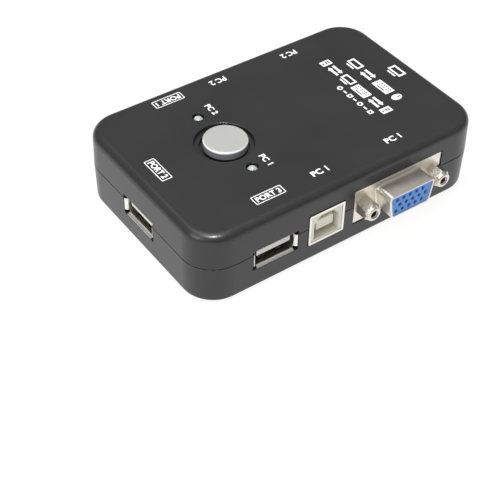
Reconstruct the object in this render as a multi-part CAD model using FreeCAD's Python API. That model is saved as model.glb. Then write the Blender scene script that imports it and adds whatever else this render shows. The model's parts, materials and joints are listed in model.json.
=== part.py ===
import FreeCAD, Part
import math
import os

# Two-computer VGA and USB switch box. Lengths are in millimetres. +X runs along the long walls to the
# monitor socket, +Y to the back wall and +Z up. The pieces are drawn about the middle of the case, with
# the desk at z = 0, and save() moves them so that the middle of the whole box is over the origin.

V = FreeCAD.Vector
UP = V(0, 0, 1)
OUT = V(0, -1, 0)

# --- case -----------------------------------------------------------------------------------------
CASE_LENGTH = 95.4
CASE_WIDTH = 61.7
CASE_HEIGHT = 22.75
CORNER_RADIUS = 9.7
TOP_EDGE_RADIUS = 2.4
BOTTOM_EDGE_RADIUS = 1.3
TOP_DRAFT = math.radians(1.5)
BOTTOM_DRAFT = math.radians(0.9)
WALL = 2.0
SEAM_HEIGHT = 12.0
SEAM_GAP = 0.3
LIP_THICKNESS = 0.95
LIP_HEIGHT = 1.4
LIP_CLEARANCE = 0.1

# --- feet and screws ------------------------------------------------------------------------------
FOOT_RADIUS = 4.0
FOOT_THICKNESS = 1.2
FOOT_RECESS = 0.4
FOOT_X = 31.0
FOOT_Y = 21.5
SCREW_X = 40.3
SCREW_Y = 23.4
SCREW_RADIUS = 1.3
SCREW_HEAD_RADIUS = 2.5
SCREW_HEAD_HEIGHT = 1.6
SCREW_HEAD_SINK = 0.6
SCREW_LENGTH = 14.0
POST_RADIUS = 2.9
POST_FOOT_RADIUS = 3.7
POST_JOIN = 8.0

# --- circuit board --------------------------------------------------------------------------------
BOARD_UNDERSIDE = 3.9
BOARD_THICKNESS = 1.6
BOARD_EDGE_GAP = 0.5
BOARD_CORNER_CUT = 4.3
BOARD_POST_X = 36.5
BOARD_POST_Y = 19.5
BOARD_POST_RADIUS = 2.3
BOARD_PIN_RADIUS = 1.1
LEAD_TAIL = 1.2
LEAD_HOLE_RADIUS = 0.5

# --- select button, lamps and switch --------------------------------------------------------------
BUTTON_X = -18.88
BUTTON_Y = 0.95
BUTTON_RADIUS = 6.28
BUTTON_PROUD = 1.3
BUTTON_TRAVEL = 0.5
BUTTON_EDGE_RADIUS = 0.6
BUTTON_FLANGE_RADIUS = 8.0
BUTTON_FLANGE_THICKNESS = 1.0
BUTTON_STEM_RADIUS = 2.2
BUTTON_WALL = 1.2
BUTTON_RIB = 1.0
REST_GAP = 0.05
DISH_X = -19.15
DISH_Y = 1.15
DISH_RADIUS = 8.4
DISH_FLOOR_RADIUS = 8.2
DISH_DEPTH = 1.2
DISH_EDGE_RADIUS = 0.3
BUTTON_HOLE_RADIUS = 7.05
GUIDE_CLEARANCE = 0.09
GUIDE_WALL = 0.6
GUIDE_DEPTH = 3.0
LAMP_X = -18.8
LAMP_Y = 1.42
LAMP_SPACING = 13.04
LAMP_HOLE_RADIUS = 1.75
LAMP_RADIUS = 1.5
LAMP_HEIGHT = 5.3
LAMP_PROUD = 0.0
LAMP_LEAD_SIDE = 1.27
LAMP_FLANGE_RADIUS = 1.9
LAMP_SPACER_RADIUS = 2.1
SWITCH_SIDE = 6.0
SWITCH_BASE_HEIGHT = 3.4
SWITCH_COVER_THICKNESS = 0.3
SWITCH_HEIGHT = 12.0
SWITCH_WELL = 1.2
DOME_HEIGHT = 0.68
PLUNGER_RADIUS = 1.75
PLUNGER_CLEARANCE = 0.08
PLUNGER_FLANGE_RADIUS = 2.3

# --- sockets: heights of their centre lines above the case's underside ----------------------------
USB_A_X = -24.6
USB_B_X = -7.85
VGA_X = 17.2
SIDE_USB_Y = 0.45
USB_A_HEIGHT = 9.95
USB_B_HEIGHT = 11.05
VGA_HEIGHT = 11.45

VGA_FLANGE_WIDTH = 30.8
VGA_FLANGE_HEIGHT = 11.3
VGA_FLANGE_THICKNESS = 0.8
VGA_FLANGE_DEPTH = 0.3
VGA_PROUD = 5.8
VGA_SHELL_WIDTH = 16.5
VGA_SHELL_HEIGHT = 7.9
VGA_SHELL_WALL = 0.6
VGA_SHELL_SLOPE = math.radians(10)
VGA_SHELL_CORNER = 1.3
VGA_HOLE_PITCH = 2.29
VGA_ROW_PITCH = 1.98
VGA_HOLE_RADIUS = 0.52
VGA_HOLE_DEPTH = 4.3
VGA_TAIL_ROWS = (9.2, 7.2, 5.2)
JACK_SPACING = 24.99
JACK_ACROSS_FLATS = 4.75
JACK_PROUD = 5.0
JACK_THREAD_RADIUS = 1.13
JACK_HOLE_LENGTH = 4.4
JACK_STUD_RADIUS = 1.4
VGA_PEG_DEPTH = 6.5
VGA_PEG_HOLE_RADIUS = 1.3

USB_A_OPENING = (12.5, 5.12)
USB_A_DEPTH = 13.5
USB_A_SHEET = 0.3
USB_A_LIP_RADIUS = 1.1
USB_A_LIP_ANGLES = (math.radians(65), math.radians(78))
USB_A_LIP_WIDTHS = (12.0, 4.0)
USB_A_CUTOUT = (14.9, 6.8)
USB_A_TONGUE = (10.8, 1.84)
USB_A_TONGUE_GAP = 0.62
USB_A_SPRING_BOW = 0.52
USB_A_PINS = (-3.5, -1.0, 1.0, 3.5)
USB_A_PEG_SIDE = USB_A_OPENING[0] / 2 + USB_A_SHEET / 2
USB_A_PEG_DEPTH = 9.5
USB_PEG_HOLE_RADIUS = 1.1

USB_B_FACE = (11.9, 10.35)
USB_B_DEPTH = 16.0
USB_B_SHEET = 0.35
USB_B_PROUD = 0.15
USB_B_BEZEL = 0.7
USB_B_BEZEL_BACK = 0.15
USB_B_FACE_GAP = 0.12
USB_B_OPENING = (8.45, 7.78)
USB_B_CHAMFER = 2.1
USB_B_CAVITY = 9.0
USB_B_TONGUE = (5.6, 3.2)
USB_B_PINS = (-1.25, 1.25)
USB_B_PEG_SIDE = USB_B_FACE[0] / 2 - USB_B_SHEET / 2
USB_B_PEG_DEPTH = 10.0

WIRE = 0.6
FINGER = 0.25
CUTOUT_GAP = 0.2

# --- heights above the desk -----------------------------------------------------------------------
UNDERSIDE_Z = FOOT_THICKNESS - FOOT_RECESS
TOP_Z = UNDERSIDE_Z + CASE_HEIGHT
SEAM_Z = UNDERSIDE_Z + SEAM_HEIGHT
FLOOR_Z = UNDERSIDE_Z + WALL
CEILING_Z = TOP_Z - WALL
BOARD_BOTTOM_Z = UNDERSIDE_Z + BOARD_UNDERSIDE
BOARD_Z = BOARD_BOTTOM_Z + BOARD_THICKNESS
TAIL_Z = BOARD_BOTTOM_Z - LEAD_TAIL
POST_JOIN_Z = UNDERSIDE_Z + POST_JOIN
USB_A_Z = UNDERSIDE_Z + USB_A_HEIGHT
USB_B_Z = UNDERSIDE_Z + USB_B_HEIGHT
VGA_Z = UNDERSIDE_Z + VGA_HEIGHT
LAMP_BASE_Z = TOP_Z + LAMP_PROUD - LAMP_HEIGHT
PLUNGER_TOP_Z = BOARD_Z + SWITCH_HEIGHT
SWITCH_WELL_Z = BOARD_Z + SWITCH_WELL
CASE_SHIFT = V(-VGA_PROUD / 2, 0, 0)

# --- where each socket sits: x, y on the wall, and the turn that faces it outwards ----------------
HALF_LENGTH = CASE_LENGTH / 2
HALF_WIDTH = CASE_WIDTH / 2
USB_A_SEATS = {
    "usb_1": (USB_A_X, HALF_WIDTH, 180),
    "usb_2": (-HALF_LENGTH, SIDE_USB_Y, -90),
    "usb_3": (USB_A_X, -HALF_WIDTH, 0),
}
USB_B_SEATS = {"pc_1": (USB_B_X, -HALF_WIDTH, 0), "pc_2": (USB_B_X, HALF_WIDTH, 180)}
VGA_SEATS = {
    "pc_1": (VGA_X, -HALF_WIDTH, 0),
    "pc_2": (VGA_X, HALF_WIDTH, 180),
    "monitor": (HALF_LENGTH, 0, 90),
}


# --- helpers --------------------------------------------------------------------------------------
def box(xs, ys, zs):
    """A block between two limits along each axis."""
    return Part.makeBox(xs[1] - xs[0], ys[1] - ys[0], zs[1] - zs[0], V(xs[0], ys[0], zs[0]))


def post(radius, bottom, top, x=0, y=0):
    """An upright cylinder."""
    return Part.makeCylinder(radius, top - bottom, V(x, y, bottom), UP)


def bar(radius, start, end, x, z):
    """A cylinder along Y."""
    return Part.makeCylinder(radius, end - start, V(x, start, z), V(0, 1, 0))


def seat(shape, place):
    """Turn a piece drawn for the front wall and carry it to its own wall."""
    x, y, angle = place
    moved = shape.copy()
    moved.rotate(V(0, 0, 0), UP, angle)
    moved.translate(V(x, y, 0))
    return moved


def join(shapes):
    """One solid from pieces that touch or overlap."""
    return shapes[0].fuse(shapes[1:]).removeSplitter()


def save(name, shape):
    """Write one node."""
    moved = shape.copy()
    moved.translate(CASE_SHIFT)
    moved.exportStep("parts/" + name + ".step")


def rounded_outline(half_x, half_y, radius, z):
    """A rectangle with round corners, flat at height z."""
    arcs = []
    for index, (side_x, side_y) in enumerate(((1, 1), (-1, 1), (-1, -1), (1, -1))):
        points = []
        for step in range(3):
            angle = math.radians(90 * index + 45 * step)
            x = side_x * (half_x - radius) + radius * math.cos(angle)
            y = side_y * (half_y - radius) + radius * math.sin(angle)
            points.append(V(x, y, z))
        arcs.append(points)
    edges = []
    for index, points in enumerate(arcs):
        edges.append(Part.Arc(*points).toShape())
        edges.append(Part.makeLine(points[2], arcs[(index + 1) % 4][0]))
    return Part.Wire(edges)


def case_block(low, high, low_inset, high_inset):
    """The case's outline between two heights, drawn in by an inset at each."""
    wires = []
    for z, inset in ((low, low_inset), (high, high_inset)):
        wires.append(rounded_outline(HALF_LENGTH - inset, HALF_WIDTH - inset, CORNER_RADIUS - inset, z))
    return Part.makeLoft(wires, True, True)


def round_edges_at(solid, z, radius):
    """Round every edge that lies flat at one height."""
    edges = [e for e in solid.Edges if all(abs(v.Z - z) < 1e-4 for v in e.Vertexes)]
    return solid.makeFillet(radius, edges)


def round_long_edges(solid, radius, axis):
    """Round every straight edge that runs along one axis."""
    edges = []
    for edge in solid.Edges:
        if abs(edge.tangentAt(edge.FirstParameter).dot(axis)) > 0.999:
            edges.append(edge)
    return solid.makeFillet(radius, edges)


def turned(points, x=0, y=0):
    """A solid of revolution about an upright axis from (radius, height) points."""
    corners = [V(r, 0, z) for r, z in points]
    face = Part.Face(Part.makePolygon(corners + corners[:1]))
    solid = face.revolve(V(0, 0, 0), UP, 360)
    solid.translate(V(x, y, 0))
    return solid


# --- case -----------------------------------------------------------------------------------------
def socket_cutouts():
    """The openings that the sockets look out through."""
    kinds = (
        (USB_A_SEATS, USB_A_CUTOUT, USB_A_Z, 0),
        (USB_B_SEATS, USB_B_FACE, USB_B_Z, 2 * CUTOUT_GAP),
        (VGA_SEATS, (VGA_FLANGE_WIDTH, VGA_FLANGE_HEIGHT), VGA_Z, 2 * CUTOUT_GAP),
    )
    tools = []
    for seats, (width, height), z, gap in kinds:
        half_w = (width + gap) / 2
        half_h = (height + gap) / 2
        tool = box((-half_w, half_w), (-3, WALL + 1.2), (z - half_h, z + half_h))
        tools += [seat(tool, place) for place in seats.values()]
    return tools


def screw_places():
    return [(x, y) for x in (-SCREW_X, SCREW_X) for y in (-SCREW_Y, SCREW_Y)]


def foot_places():
    return {
        "front_left": (-FOOT_X, -FOOT_Y),
        "front_right": (FOOT_X, -FOOT_Y),
        "back_left": (-FOOT_X, FOOT_Y),
        "back_right": (FOOT_X, FOOT_Y),
    }


def lip_ring(clearance, top):
    """The band inside the seam, where the lower shell reaches up into the upper one."""
    low = SEAM_Z - SEAM_GAP
    outer_inset = WALL - LIP_THICKNESS - clearance
    outer = case_block(low, top, outer_inset, outer_inset)
    inner = case_block(low - 1, top + 1, WALL, WALL)
    return outer.cut(inner)


def button_dish():
    """The turned cut around the button: a rounded lip, a sloped wall, a ledge and the hole."""
    lip_centre = (DISH_RADIUS + DISH_EDGE_RADIUS, TOP_Z - DISH_EDGE_RADIUS)
    points = [(0, TOP_Z + 1), (lip_centre[0], TOP_Z + 1)]
    for angle in (90, 112.5, 135, 157.5, 180):
        turn = math.radians(angle)
        r = lip_centre[0] + DISH_EDGE_RADIUS * math.cos(turn)
        points.append((r, lip_centre[1] + DISH_EDGE_RADIUS * math.sin(turn)))
    points.append((DISH_FLOOR_RADIUS, TOP_Z - DISH_DEPTH))
    points.append((BUTTON_HOLE_RADIUS, TOP_Z - DISH_DEPTH))
    points.append((BUTTON_HOLE_RADIUS, CEILING_Z - 1))
    points.append((0, CEILING_Z - 1))
    return turned(points, DISH_X, DISH_Y)


def top_cover():
    seam = SEAM_Z + SEAM_GAP / 2
    rise = TOP_Z - seam
    shell = case_block(seam, TOP_Z, 0, rise * math.tan(TOP_DRAFT))
    shell = round_edges_at(shell, TOP_Z, TOP_EDGE_RADIUS)
    hollow = case_block(seam - 1, CEILING_Z, WALL, WALL + rise * math.tan(TOP_DRAFT))
    shell = shell.cut([hollow, lip_ring(LIP_CLEARANCE, SEAM_Z + LIP_HEIGHT + LIP_CLEARANCE)])
    guide_radius = BUTTON_FLANGE_RADIUS + GUIDE_CLEARANCE
    guide = post(guide_radius + GUIDE_WALL, CEILING_Z - GUIDE_DEPTH, CEILING_Z + 0.5, BUTTON_X, BUTTON_Y)
    bosses = [post(POST_RADIUS, POST_JOIN_Z + REST_GAP, CEILING_Z + 0.5, x, y) for x, y in screw_places()]
    shell = shell.fuse([guide] + bosses)
    cuts = [button_dish()]
    cuts.append(post(guide_radius, CEILING_Z - GUIDE_DEPTH - 1, CEILING_Z, BUTTON_X, BUTTON_Y))
    for side in (-1, 1):
        lamp_y = LAMP_Y + side * LAMP_SPACING
        cuts.append(post(LAMP_HOLE_RADIUS, CEILING_Z - 1, TOP_Z + 1, LAMP_X, lamp_y))
    screw_top = UNDERSIDE_Z + SCREW_HEAD_HEIGHT + SCREW_LENGTH + 1
    cuts += [post(SCREW_RADIUS, POST_JOIN_Z - 1, screw_top, x, y) for x, y in screw_places()]
    return shell.cut(cuts + socket_cutouts()).removeSplitter()


def bottom_cover():
    seam = SEAM_Z - SEAM_GAP / 2
    drop = seam - UNDERSIDE_Z
    foot_inset = drop * math.tan(BOTTOM_DRAFT)
    shell = case_block(UNDERSIDE_Z, seam, foot_inset, 0)
    shell = round_edges_at(shell, UNDERSIDE_Z, BOTTOM_EDGE_RADIUS)
    hollow = case_block(FLOOR_Z, seam + 1, WALL + foot_inset, WALL)
    shell = shell.cut(hollow).fuse(lip_ring(0, SEAM_Z + LIP_HEIGHT))
    posts = []
    cuts = []
    head_seat = UNDERSIDE_Z + SCREW_HEAD_HEIGHT + SCREW_HEAD_SINK
    for x, y in screw_places():
        posts.append(post(POST_FOOT_RADIUS, UNDERSIDE_Z + 0.5, BOARD_BOTTOM_Z, x, y))
        posts.append(post(POST_RADIUS, UNDERSIDE_Z + 0.5, POST_JOIN_Z, x, y))
        cuts.append(post(SCREW_HEAD_RADIUS + 0.2, UNDERSIDE_Z - 1, head_seat, x, y))
        cuts.append(post(SCREW_RADIUS + 0.25, UNDERSIDE_Z - 1, POST_JOIN_Z + 1, x, y))
    for x, y in board_post_places():
        posts.append(post(BOARD_POST_RADIUS, FLOOR_Z - 0.5, BOARD_BOTTOM_Z, x, y))
    for x, y in board_pin_places():
        posts.append(post(BOARD_PIN_RADIUS, FLOOR_Z, BOARD_Z + 0.6, x, y))
    for x, y in board_screw_places():
        cuts.append(post(1.0, FLOOR_Z - 0.8, BOARD_Z, x, y))
    for x, y in foot_places().values():
        cuts.append(post(FOOT_RADIUS + 0.1, UNDERSIDE_Z - 1, UNDERSIDE_Z + FOOT_RECESS, x, y))
    shell = shell.fuse(posts)
    return shell.cut(cuts + socket_cutouts()).removeSplitter()


def case_screws():
    """Four pan-head screws, driven up from below."""
    screws = []
    seat_z = UNDERSIDE_Z + SCREW_HEAD_HEIGHT + SCREW_HEAD_SINK
    for x, y in screw_places():
        head = post(SCREW_HEAD_RADIUS, seat_z - SCREW_HEAD_HEIGHT, seat_z, x, y)
        head = round_edges_at(head, seat_z - SCREW_HEAD_HEIGHT, 0.5)
        shank = post(SCREW_RADIUS - 0.02, seat_z, seat_z + SCREW_LENGTH - 1, x, y)
        tip = Part.makeCone(SCREW_RADIUS - 0.02, 0.4, 1, V(x, y, seat_z + SCREW_LENGTH - 1), UP)
        slots = [
            box((x - 1.4, x + 1.4), (y - 0.3, y + 0.3), (seat_z - SCREW_HEAD_HEIGHT - 1, seat_z - 0.7)),
            box((x - 0.3, x + 0.3), (y - 1.4, y + 1.4), (seat_z - SCREW_HEAD_HEIGHT - 1, seat_z - 0.7)),
        ]
        screws.append(join([head, shank, tip]).cut(slots))
    return Part.makeCompound(screws)


def rubber_foot(x, y):
    pad = post(FOOT_RADIUS, 0, FOOT_THICKNESS, x, y)
    return round_edges_at(pad, 0, 0.4)


# --- circuit board --------------------------------------------------------------------------------
def board_post_places():
    return [(x, y) for x in (-BOARD_POST_X, BOARD_POST_X) for y in (-BOARD_POST_Y, BOARD_POST_Y)]


def board_screw_places():
    return [(-BOARD_POST_X, BOARD_POST_Y), (BOARD_POST_X, -BOARD_POST_Y)]


def board_pin_places():
    return [(-BOARD_POST_X, -BOARD_POST_Y), (BOARD_POST_X, BOARD_POST_Y)]


def vga_tails():
    """Where the fifteen contacts of a VGA socket go through the board, seen from its own wall."""
    tails = []
    for row, depth in enumerate(VGA_TAIL_ROWS):
        offset = VGA_HOLE_PITCH / 4 if row == 1 else -VGA_HOLE_PITCH / 4
        for column in range(-2, 3):
            tails.append((column * VGA_HOLE_PITCH + offset, depth))
    return tails


def usb_a_tails():
    return [(x, USB_A_DEPTH + 1.2) for x in USB_A_PINS]


def usb_b_tails():
    return [(x, USB_B_DEPTH + row) for x in USB_B_PINS for row in (-3.0, 1.2)]


def board_holes():
    """Every hole through the board: screws, pins, socket leads, pegs, lamp and switch leads."""
    holes = []
    low = BOARD_BOTTOM_Z - 1
    high = BOARD_Z + 1
    for x, y in board_screw_places() + board_pin_places():
        holes.append(post(BOARD_PIN_RADIUS + 0.1, low, high, x, y))
    sockets = (
        (VGA_SEATS, vga_tails(), VGA_PEG_HOLE_RADIUS, JACK_SPACING / 2, VGA_PEG_DEPTH),
        (USB_A_SEATS, usb_a_tails(), USB_PEG_HOLE_RADIUS, USB_A_PEG_SIDE, USB_A_PEG_DEPTH),
        (USB_B_SEATS, usb_b_tails(), USB_PEG_HOLE_RADIUS, USB_B_PEG_SIDE, USB_B_PEG_DEPTH),
    )
    for seats, tails, peg_radius, peg_side, peg_depth in sockets:
        for place in seats.values():
            holes += [seat(post(LEAD_HOLE_RADIUS, low, high, x, y), place) for x, y in tails]
            for side in (-1, 1):
                holes.append(seat(post(peg_radius, low, high, side * peg_side, peg_depth), place))
    for x, y in lamp_lead_places() + switch_terminal_places():
        holes.append(post(LEAD_HOLE_RADIUS, low, high, x, y))
    return holes


def circuit_board():
    half_x = HALF_LENGTH - WALL - BOARD_EDGE_GAP
    half_y = HALF_WIDTH - WALL - BOARD_EDGE_GAP
    blank = box((-half_x, half_x), (-half_y, half_y), (BOARD_BOTTOM_Z, BOARD_Z))
    blank = round_long_edges(blank, CORNER_RADIUS - WALL - BOARD_EDGE_GAP, UP)
    corners = [post(BOARD_CORNER_CUT, BOARD_BOTTOM_Z - 1, BOARD_Z + 1, x, y) for x, y in screw_places()]
    return blank.cut(corners + board_holes())


def board_screws():
    screws = []
    for x, y in board_screw_places():
        head = round_edges_at(post(1.9, BOARD_Z, BOARD_Z + 1.3, x, y), BOARD_Z + 1.3, 0.5)
        shank = post(0.98, FLOOR_Z, BOARD_Z, x, y)
        slot = box((x - 1.2, x + 1.2), (y - 0.25, y + 0.25), (BOARD_Z + 0.7, BOARD_Z + 2))
        screws.append(join([head, shank]).cut(slot))
    return Part.makeCompound(screws)


# --- select button, switch and lamps --------------------------------------------------------------
def select_button():
    """A thin cap with a flange that stops under the cover and a stem that reaches the switch."""
    cap_top = TOP_Z + BUTTON_PROUD
    flange_top = CEILING_Z - REST_GAP
    flange_bottom = flange_top - BUTTON_FLANGE_THICKNESS
    body = post(BUTTON_RADIUS, flange_bottom, cap_top)
    body = round_edges_at(body, cap_top, BUTTON_EDGE_RADIUS)
    flange = post(BUTTON_FLANGE_RADIUS, flange_bottom, flange_top)
    hollow = post(BUTTON_RADIUS - BUTTON_WALL, flange_bottom - 1, cap_top - BUTTON_WALL)
    stem = post(BUTTON_STEM_RADIUS, PLUNGER_TOP_Z + REST_GAP, cap_top - BUTTON_WALL / 2)
    reach = (-BUTTON_RADIUS + BUTTON_WALL / 2, BUTTON_RADIUS - BUTTON_WALL / 2)
    across = (-BUTTON_RIB / 2, BUTTON_RIB / 2)
    heights = (flange_bottom, cap_top - BUTTON_WALL / 2)
    ribs = [box(reach, across, heights), box(across, reach, heights)]
    button = join([body.fuse(flange).cut(hollow), stem] + ribs)
    button.translate(V(BUTTON_X, BUTTON_Y, 0))
    return button


def switch_base():
    """The moulded cup of the tactile switch, with a well for the dome."""
    half = SWITCH_SIDE / 2
    block = box((-half, half), (-half, half), (BOARD_Z, BOARD_Z + SWITCH_BASE_HEIGHT))
    block = round_long_edges(block, 0.4, UP)
    well = post(PLUNGER_FLANGE_RADIUS + 0.15, SWITCH_WELL_Z, BOARD_Z + SWITCH_BASE_HEIGHT + 1)
    base = block.cut(well)
    base.translate(V(BUTTON_X, BUTTON_Y, 0))
    return base


def switch_cover():
    """The sheet-metal lid of the switch, with two clips down its sides."""
    half = SWITCH_SIDE / 2
    low = BOARD_Z + SWITCH_BASE_HEIGHT
    lid = box((-half, half), (-half, half), (low, low + SWITCH_COVER_THICKNESS))
    hole = post(PLUNGER_RADIUS + PLUNGER_CLEARANCE, low - 1, low + 1)
    clips = []
    for side in (-1, 1):
        near, far = sorted((side * half, side * (half + SWITCH_COVER_THICKNESS)))
        clips.append(box((-1, 1), (near, far), (low - 2.2, low + SWITCH_COVER_THICKNESS)))
    cover = join([lid] + clips).cut(hole)
    cover.translate(V(BUTTON_X, BUTTON_Y, 0))
    return cover


def switch_dome():
    """The thin domed spring that snaps through and returns the button."""
    low = SWITCH_WELL_Z
    rim = PLUNGER_FLANGE_RADIUS
    top = low + DOME_HEIGHT
    points = [(rim, low), (rim, low + 0.12), (1.5, low + 0.5), (0.6, top - 0.02), (0, top)]
    points += [(0, low + 0.56), (0.6, low + 0.54), (1.4, low + 0.38), (rim - 0.2, low)]
    return turned(points, BUTTON_X, BUTTON_Y)


def switch_plunger():
    """The switch's long plunger: a flange held under the lid, and the stem that the button presses."""
    dome_top = SWITCH_WELL_Z + DOME_HEIGHT
    lid = BOARD_Z + SWITCH_BASE_HEIGHT
    flange = post(PLUNGER_FLANGE_RADIUS, dome_top + REST_GAP, lid - REST_GAP)
    stem = post(PLUNGER_RADIUS, lid - 0.5, PLUNGER_TOP_Z)
    stem = round_edges_at(stem, PLUNGER_TOP_Z, 0.2)
    plunger = join([flange, stem])
    plunger.translate(V(BUTTON_X, BUTTON_Y, 0))
    return plunger


def switch_terminal_places():
    return [(BUTTON_X + sx * 3.9, BUTTON_Y + sy * 2.25) for sx in (-1, 1) for sy in (-1, 1)]


def switch_terminals():
    """Four bent legs that come out of the switch's sides and go down through the board."""
    legs = []
    for x, y in switch_terminal_places():
        side = 1 if x > BUTTON_X else -1
        inner, outer = sorted((BUTTON_X + side * SWITCH_SIDE / 2, x + side * 0.15))
        across = box((inner, outer), (y - 0.35, y + 0.35), (BOARD_Z + 0.7, BOARD_Z + 1.0))
        near, far = sorted((x - side * 0.15, x + side * 0.15))
        down = box((near, far), (y - 0.35, y + 0.35), (TAIL_Z, BOARD_Z + 1.0))
        legs.append(join([across, down]))
    return Part.makeCompound(legs)


def lamp_places():
    return {
        "lamp_pc_1": (LAMP_X, LAMP_Y - LAMP_SPACING),
        "lamp_pc_2": (LAMP_X, LAMP_Y + LAMP_SPACING),
    }


def lamp_lead_places():
    return [(x + side * LAMP_LEAD_SIDE, y) for x, y in lamp_places().values() for side in (-1, 1)]


def lamp_lens(x, y):
    """A round-nosed lamp with a flange at its foot."""
    nose_z = TOP_Z + LAMP_PROUD - LAMP_RADIUS
    barrel = post(LAMP_RADIUS, LAMP_BASE_Z, nose_z, x, y)
    nose = Part.makeSphere(LAMP_RADIUS, V(x, y, nose_z), UP, 0, 90, 360)
    flange = post(LAMP_FLANGE_RADIUS, LAMP_BASE_Z, LAMP_BASE_Z + 1, x, y)
    return join([flange, barrel, nose])


def lamp_spacers():
    """Two moulded tubes that hold the lamps up at the cover."""
    tubes = []
    for x, y in lamp_places().values():
        tube = post(LAMP_SPACER_RADIUS, BOARD_Z, LAMP_BASE_Z, x, y)
        bores = []
        for lead_x in (x - LAMP_LEAD_SIDE, x + LAMP_LEAD_SIDE):
            across = (lead_x - 0.3, lead_x + 0.3)
            bores.append(box(across, (y - 0.3, y + 0.3), (BOARD_Z - 1, LAMP_BASE_Z + 1)))
        tubes.append(tube.cut(bores))
    return Part.makeCompound(tubes)


def lamp_leads():
    wires = []
    for x, y in lamp_lead_places():
        wires.append(box((x - 0.25, x + 0.25), (y - 0.25, y + 0.25), (TAIL_Z, LAMP_BASE_Z)))
    return Part.makeCompound(wires)


# --- VGA socket, drawn for the front wall ---------------------------------------------------------
def d_block(grow, start, end, corner):
    """A block with the socket's D outline, wider at the top, grown by an offset on every side."""
    half_h = VGA_SHELL_HEIGHT / 2 + grow
    top = VGA_SHELL_WIDTH / 2 + grow
    foot = top - 2 * half_h * math.tan(VGA_SHELL_SLOPE)
    corners = [V(-top, start, VGA_Z + half_h), V(top, start, VGA_Z + half_h)]
    corners += [V(foot, start, VGA_Z - half_h), V(-foot, start, VGA_Z - half_h)]
    face = Part.Face(Part.makePolygon(corners + corners[:1]))
    return round_long_edges(face.extrude(V(0, end - start, 0)), corner, V(0, 1, 0))


def vga_hole_places():
    """Hole centres, row by row from the top: the middle row is set over by half a pitch."""
    places = []
    for row in range(3):
        offset = VGA_HOLE_PITCH / 4 if row == 1 else -VGA_HOLE_PITCH / 4
        for column in range(-2, 3):
            places.append((column * VGA_HOLE_PITCH + offset, VGA_Z + (1 - row) * VGA_ROW_PITCH))
    return places


def vga_shell():
    """The plated front: a flat flange, a drawn collar and the D that a plug slides over."""
    face = VGA_FLANGE_DEPTH
    back = face + VGA_FLANGE_THICKNESS
    half_w = VGA_FLANGE_WIDTH / 2
    half_h = VGA_FLANGE_HEIGHT / 2
    flange = box((-half_w, half_w), (face, back), (VGA_Z - half_h, VGA_Z + half_h))
    flange = round_long_edges(flange, 0.35, V(0, 1, 0))
    collar = d_block(0.55, face - 0.7, face, VGA_SHELL_CORNER + 0.5)
    front_edges = [e for e in collar.Edges if all(abs(v.Y - (face - 0.7)) < 1e-4 for v in e.Vertexes)]
    collar = collar.makeFillet(0.45, front_edges)
    nose = d_block(0, -VGA_PROUD, face, VGA_SHELL_CORNER)
    front_edges = [e for e in nose.Edges if all(abs(v.Y + VGA_PROUD) < 1e-4 for v in e.Vertexes)]
    nose = nose.makeFillet(0.25, front_edges)
    shell = join([flange, collar, nose])
    bore = d_block(-VGA_SHELL_WALL, -VGA_PROUD - 1, back + 1, VGA_SHELL_CORNER - VGA_SHELL_WALL)
    screw_holes = []
    for side in (-1, 1):
        screw_holes.append(bar(JACK_STUD_RADIUS + 0.1, face - 1, back + 1, side * JACK_SPACING / 2, VGA_Z))
    return shell.cut([bore] + screw_holes)


def vga_contact_wires():
    """Square wires: straight back from each hole, then down through the board."""
    wires = []
    half = WIRE / 2
    start = -VGA_PROUD + 0.2 + VGA_HOLE_DEPTH
    for (x, z), (_, depth) in zip(vga_hole_places(), vga_tails()):
        along = box((x - half, x + half), (start, depth + half), (z - half, z + half))
        down = box((x - half, x + half), (depth - half, depth + half), (TAIL_Z, z + half))
        wires.append(join([along, down]))
    return wires


def vga_contacts():
    """Fifteen contacts, each a spring sleeve in its hole on the end of a wire."""
    contacts = []
    sleeve_end = -VGA_PROUD + 0.2 + VGA_HOLE_DEPTH
    for (x, z), wire in zip(vga_hole_places(), vga_contact_wires()):
        sleeve = bar(0.45, sleeve_end - 2.8, sleeve_end, x, z)
        bore = bar(0.3, sleeve_end - 3, sleeve_end - 0.4, x, z)
        contacts.append(join([sleeve.cut(bore), wire]))
    return Part.makeCompound(contacts)


def vga_insert():
    """The blue moulding: a D nose with fifteen holes, and the block behind it that holds the wires."""
    face = -VGA_PROUD + 0.2
    back = VGA_FLANGE_DEPTH + VGA_FLANGE_THICKNESS
    nose = d_block(-VGA_SHELL_WALL - 0.03, face, back, VGA_SHELL_CORNER - VGA_SHELL_WALL)
    block = box((-9.4, 9.4), (back, 10.4), (BOARD_Z + 0.3, VGA_Z + 5.2))
    block = round_long_edges(block, 0.6, UP)
    holes = [bar(VGA_HOLE_RADIUS, face - 1, face + VGA_HOLE_DEPTH, x, z) for x, z in vga_hole_places()]
    mouths = [Part.makeCone(VGA_HOLE_RADIUS + 0.15, VGA_HOLE_RADIUS, 0.25, V(x, face, z), V(0, 1, 0))
              for x, z in vga_hole_places()]
    return join([nose, block]).cut(holes + mouths + vga_contact_wires())


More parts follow.
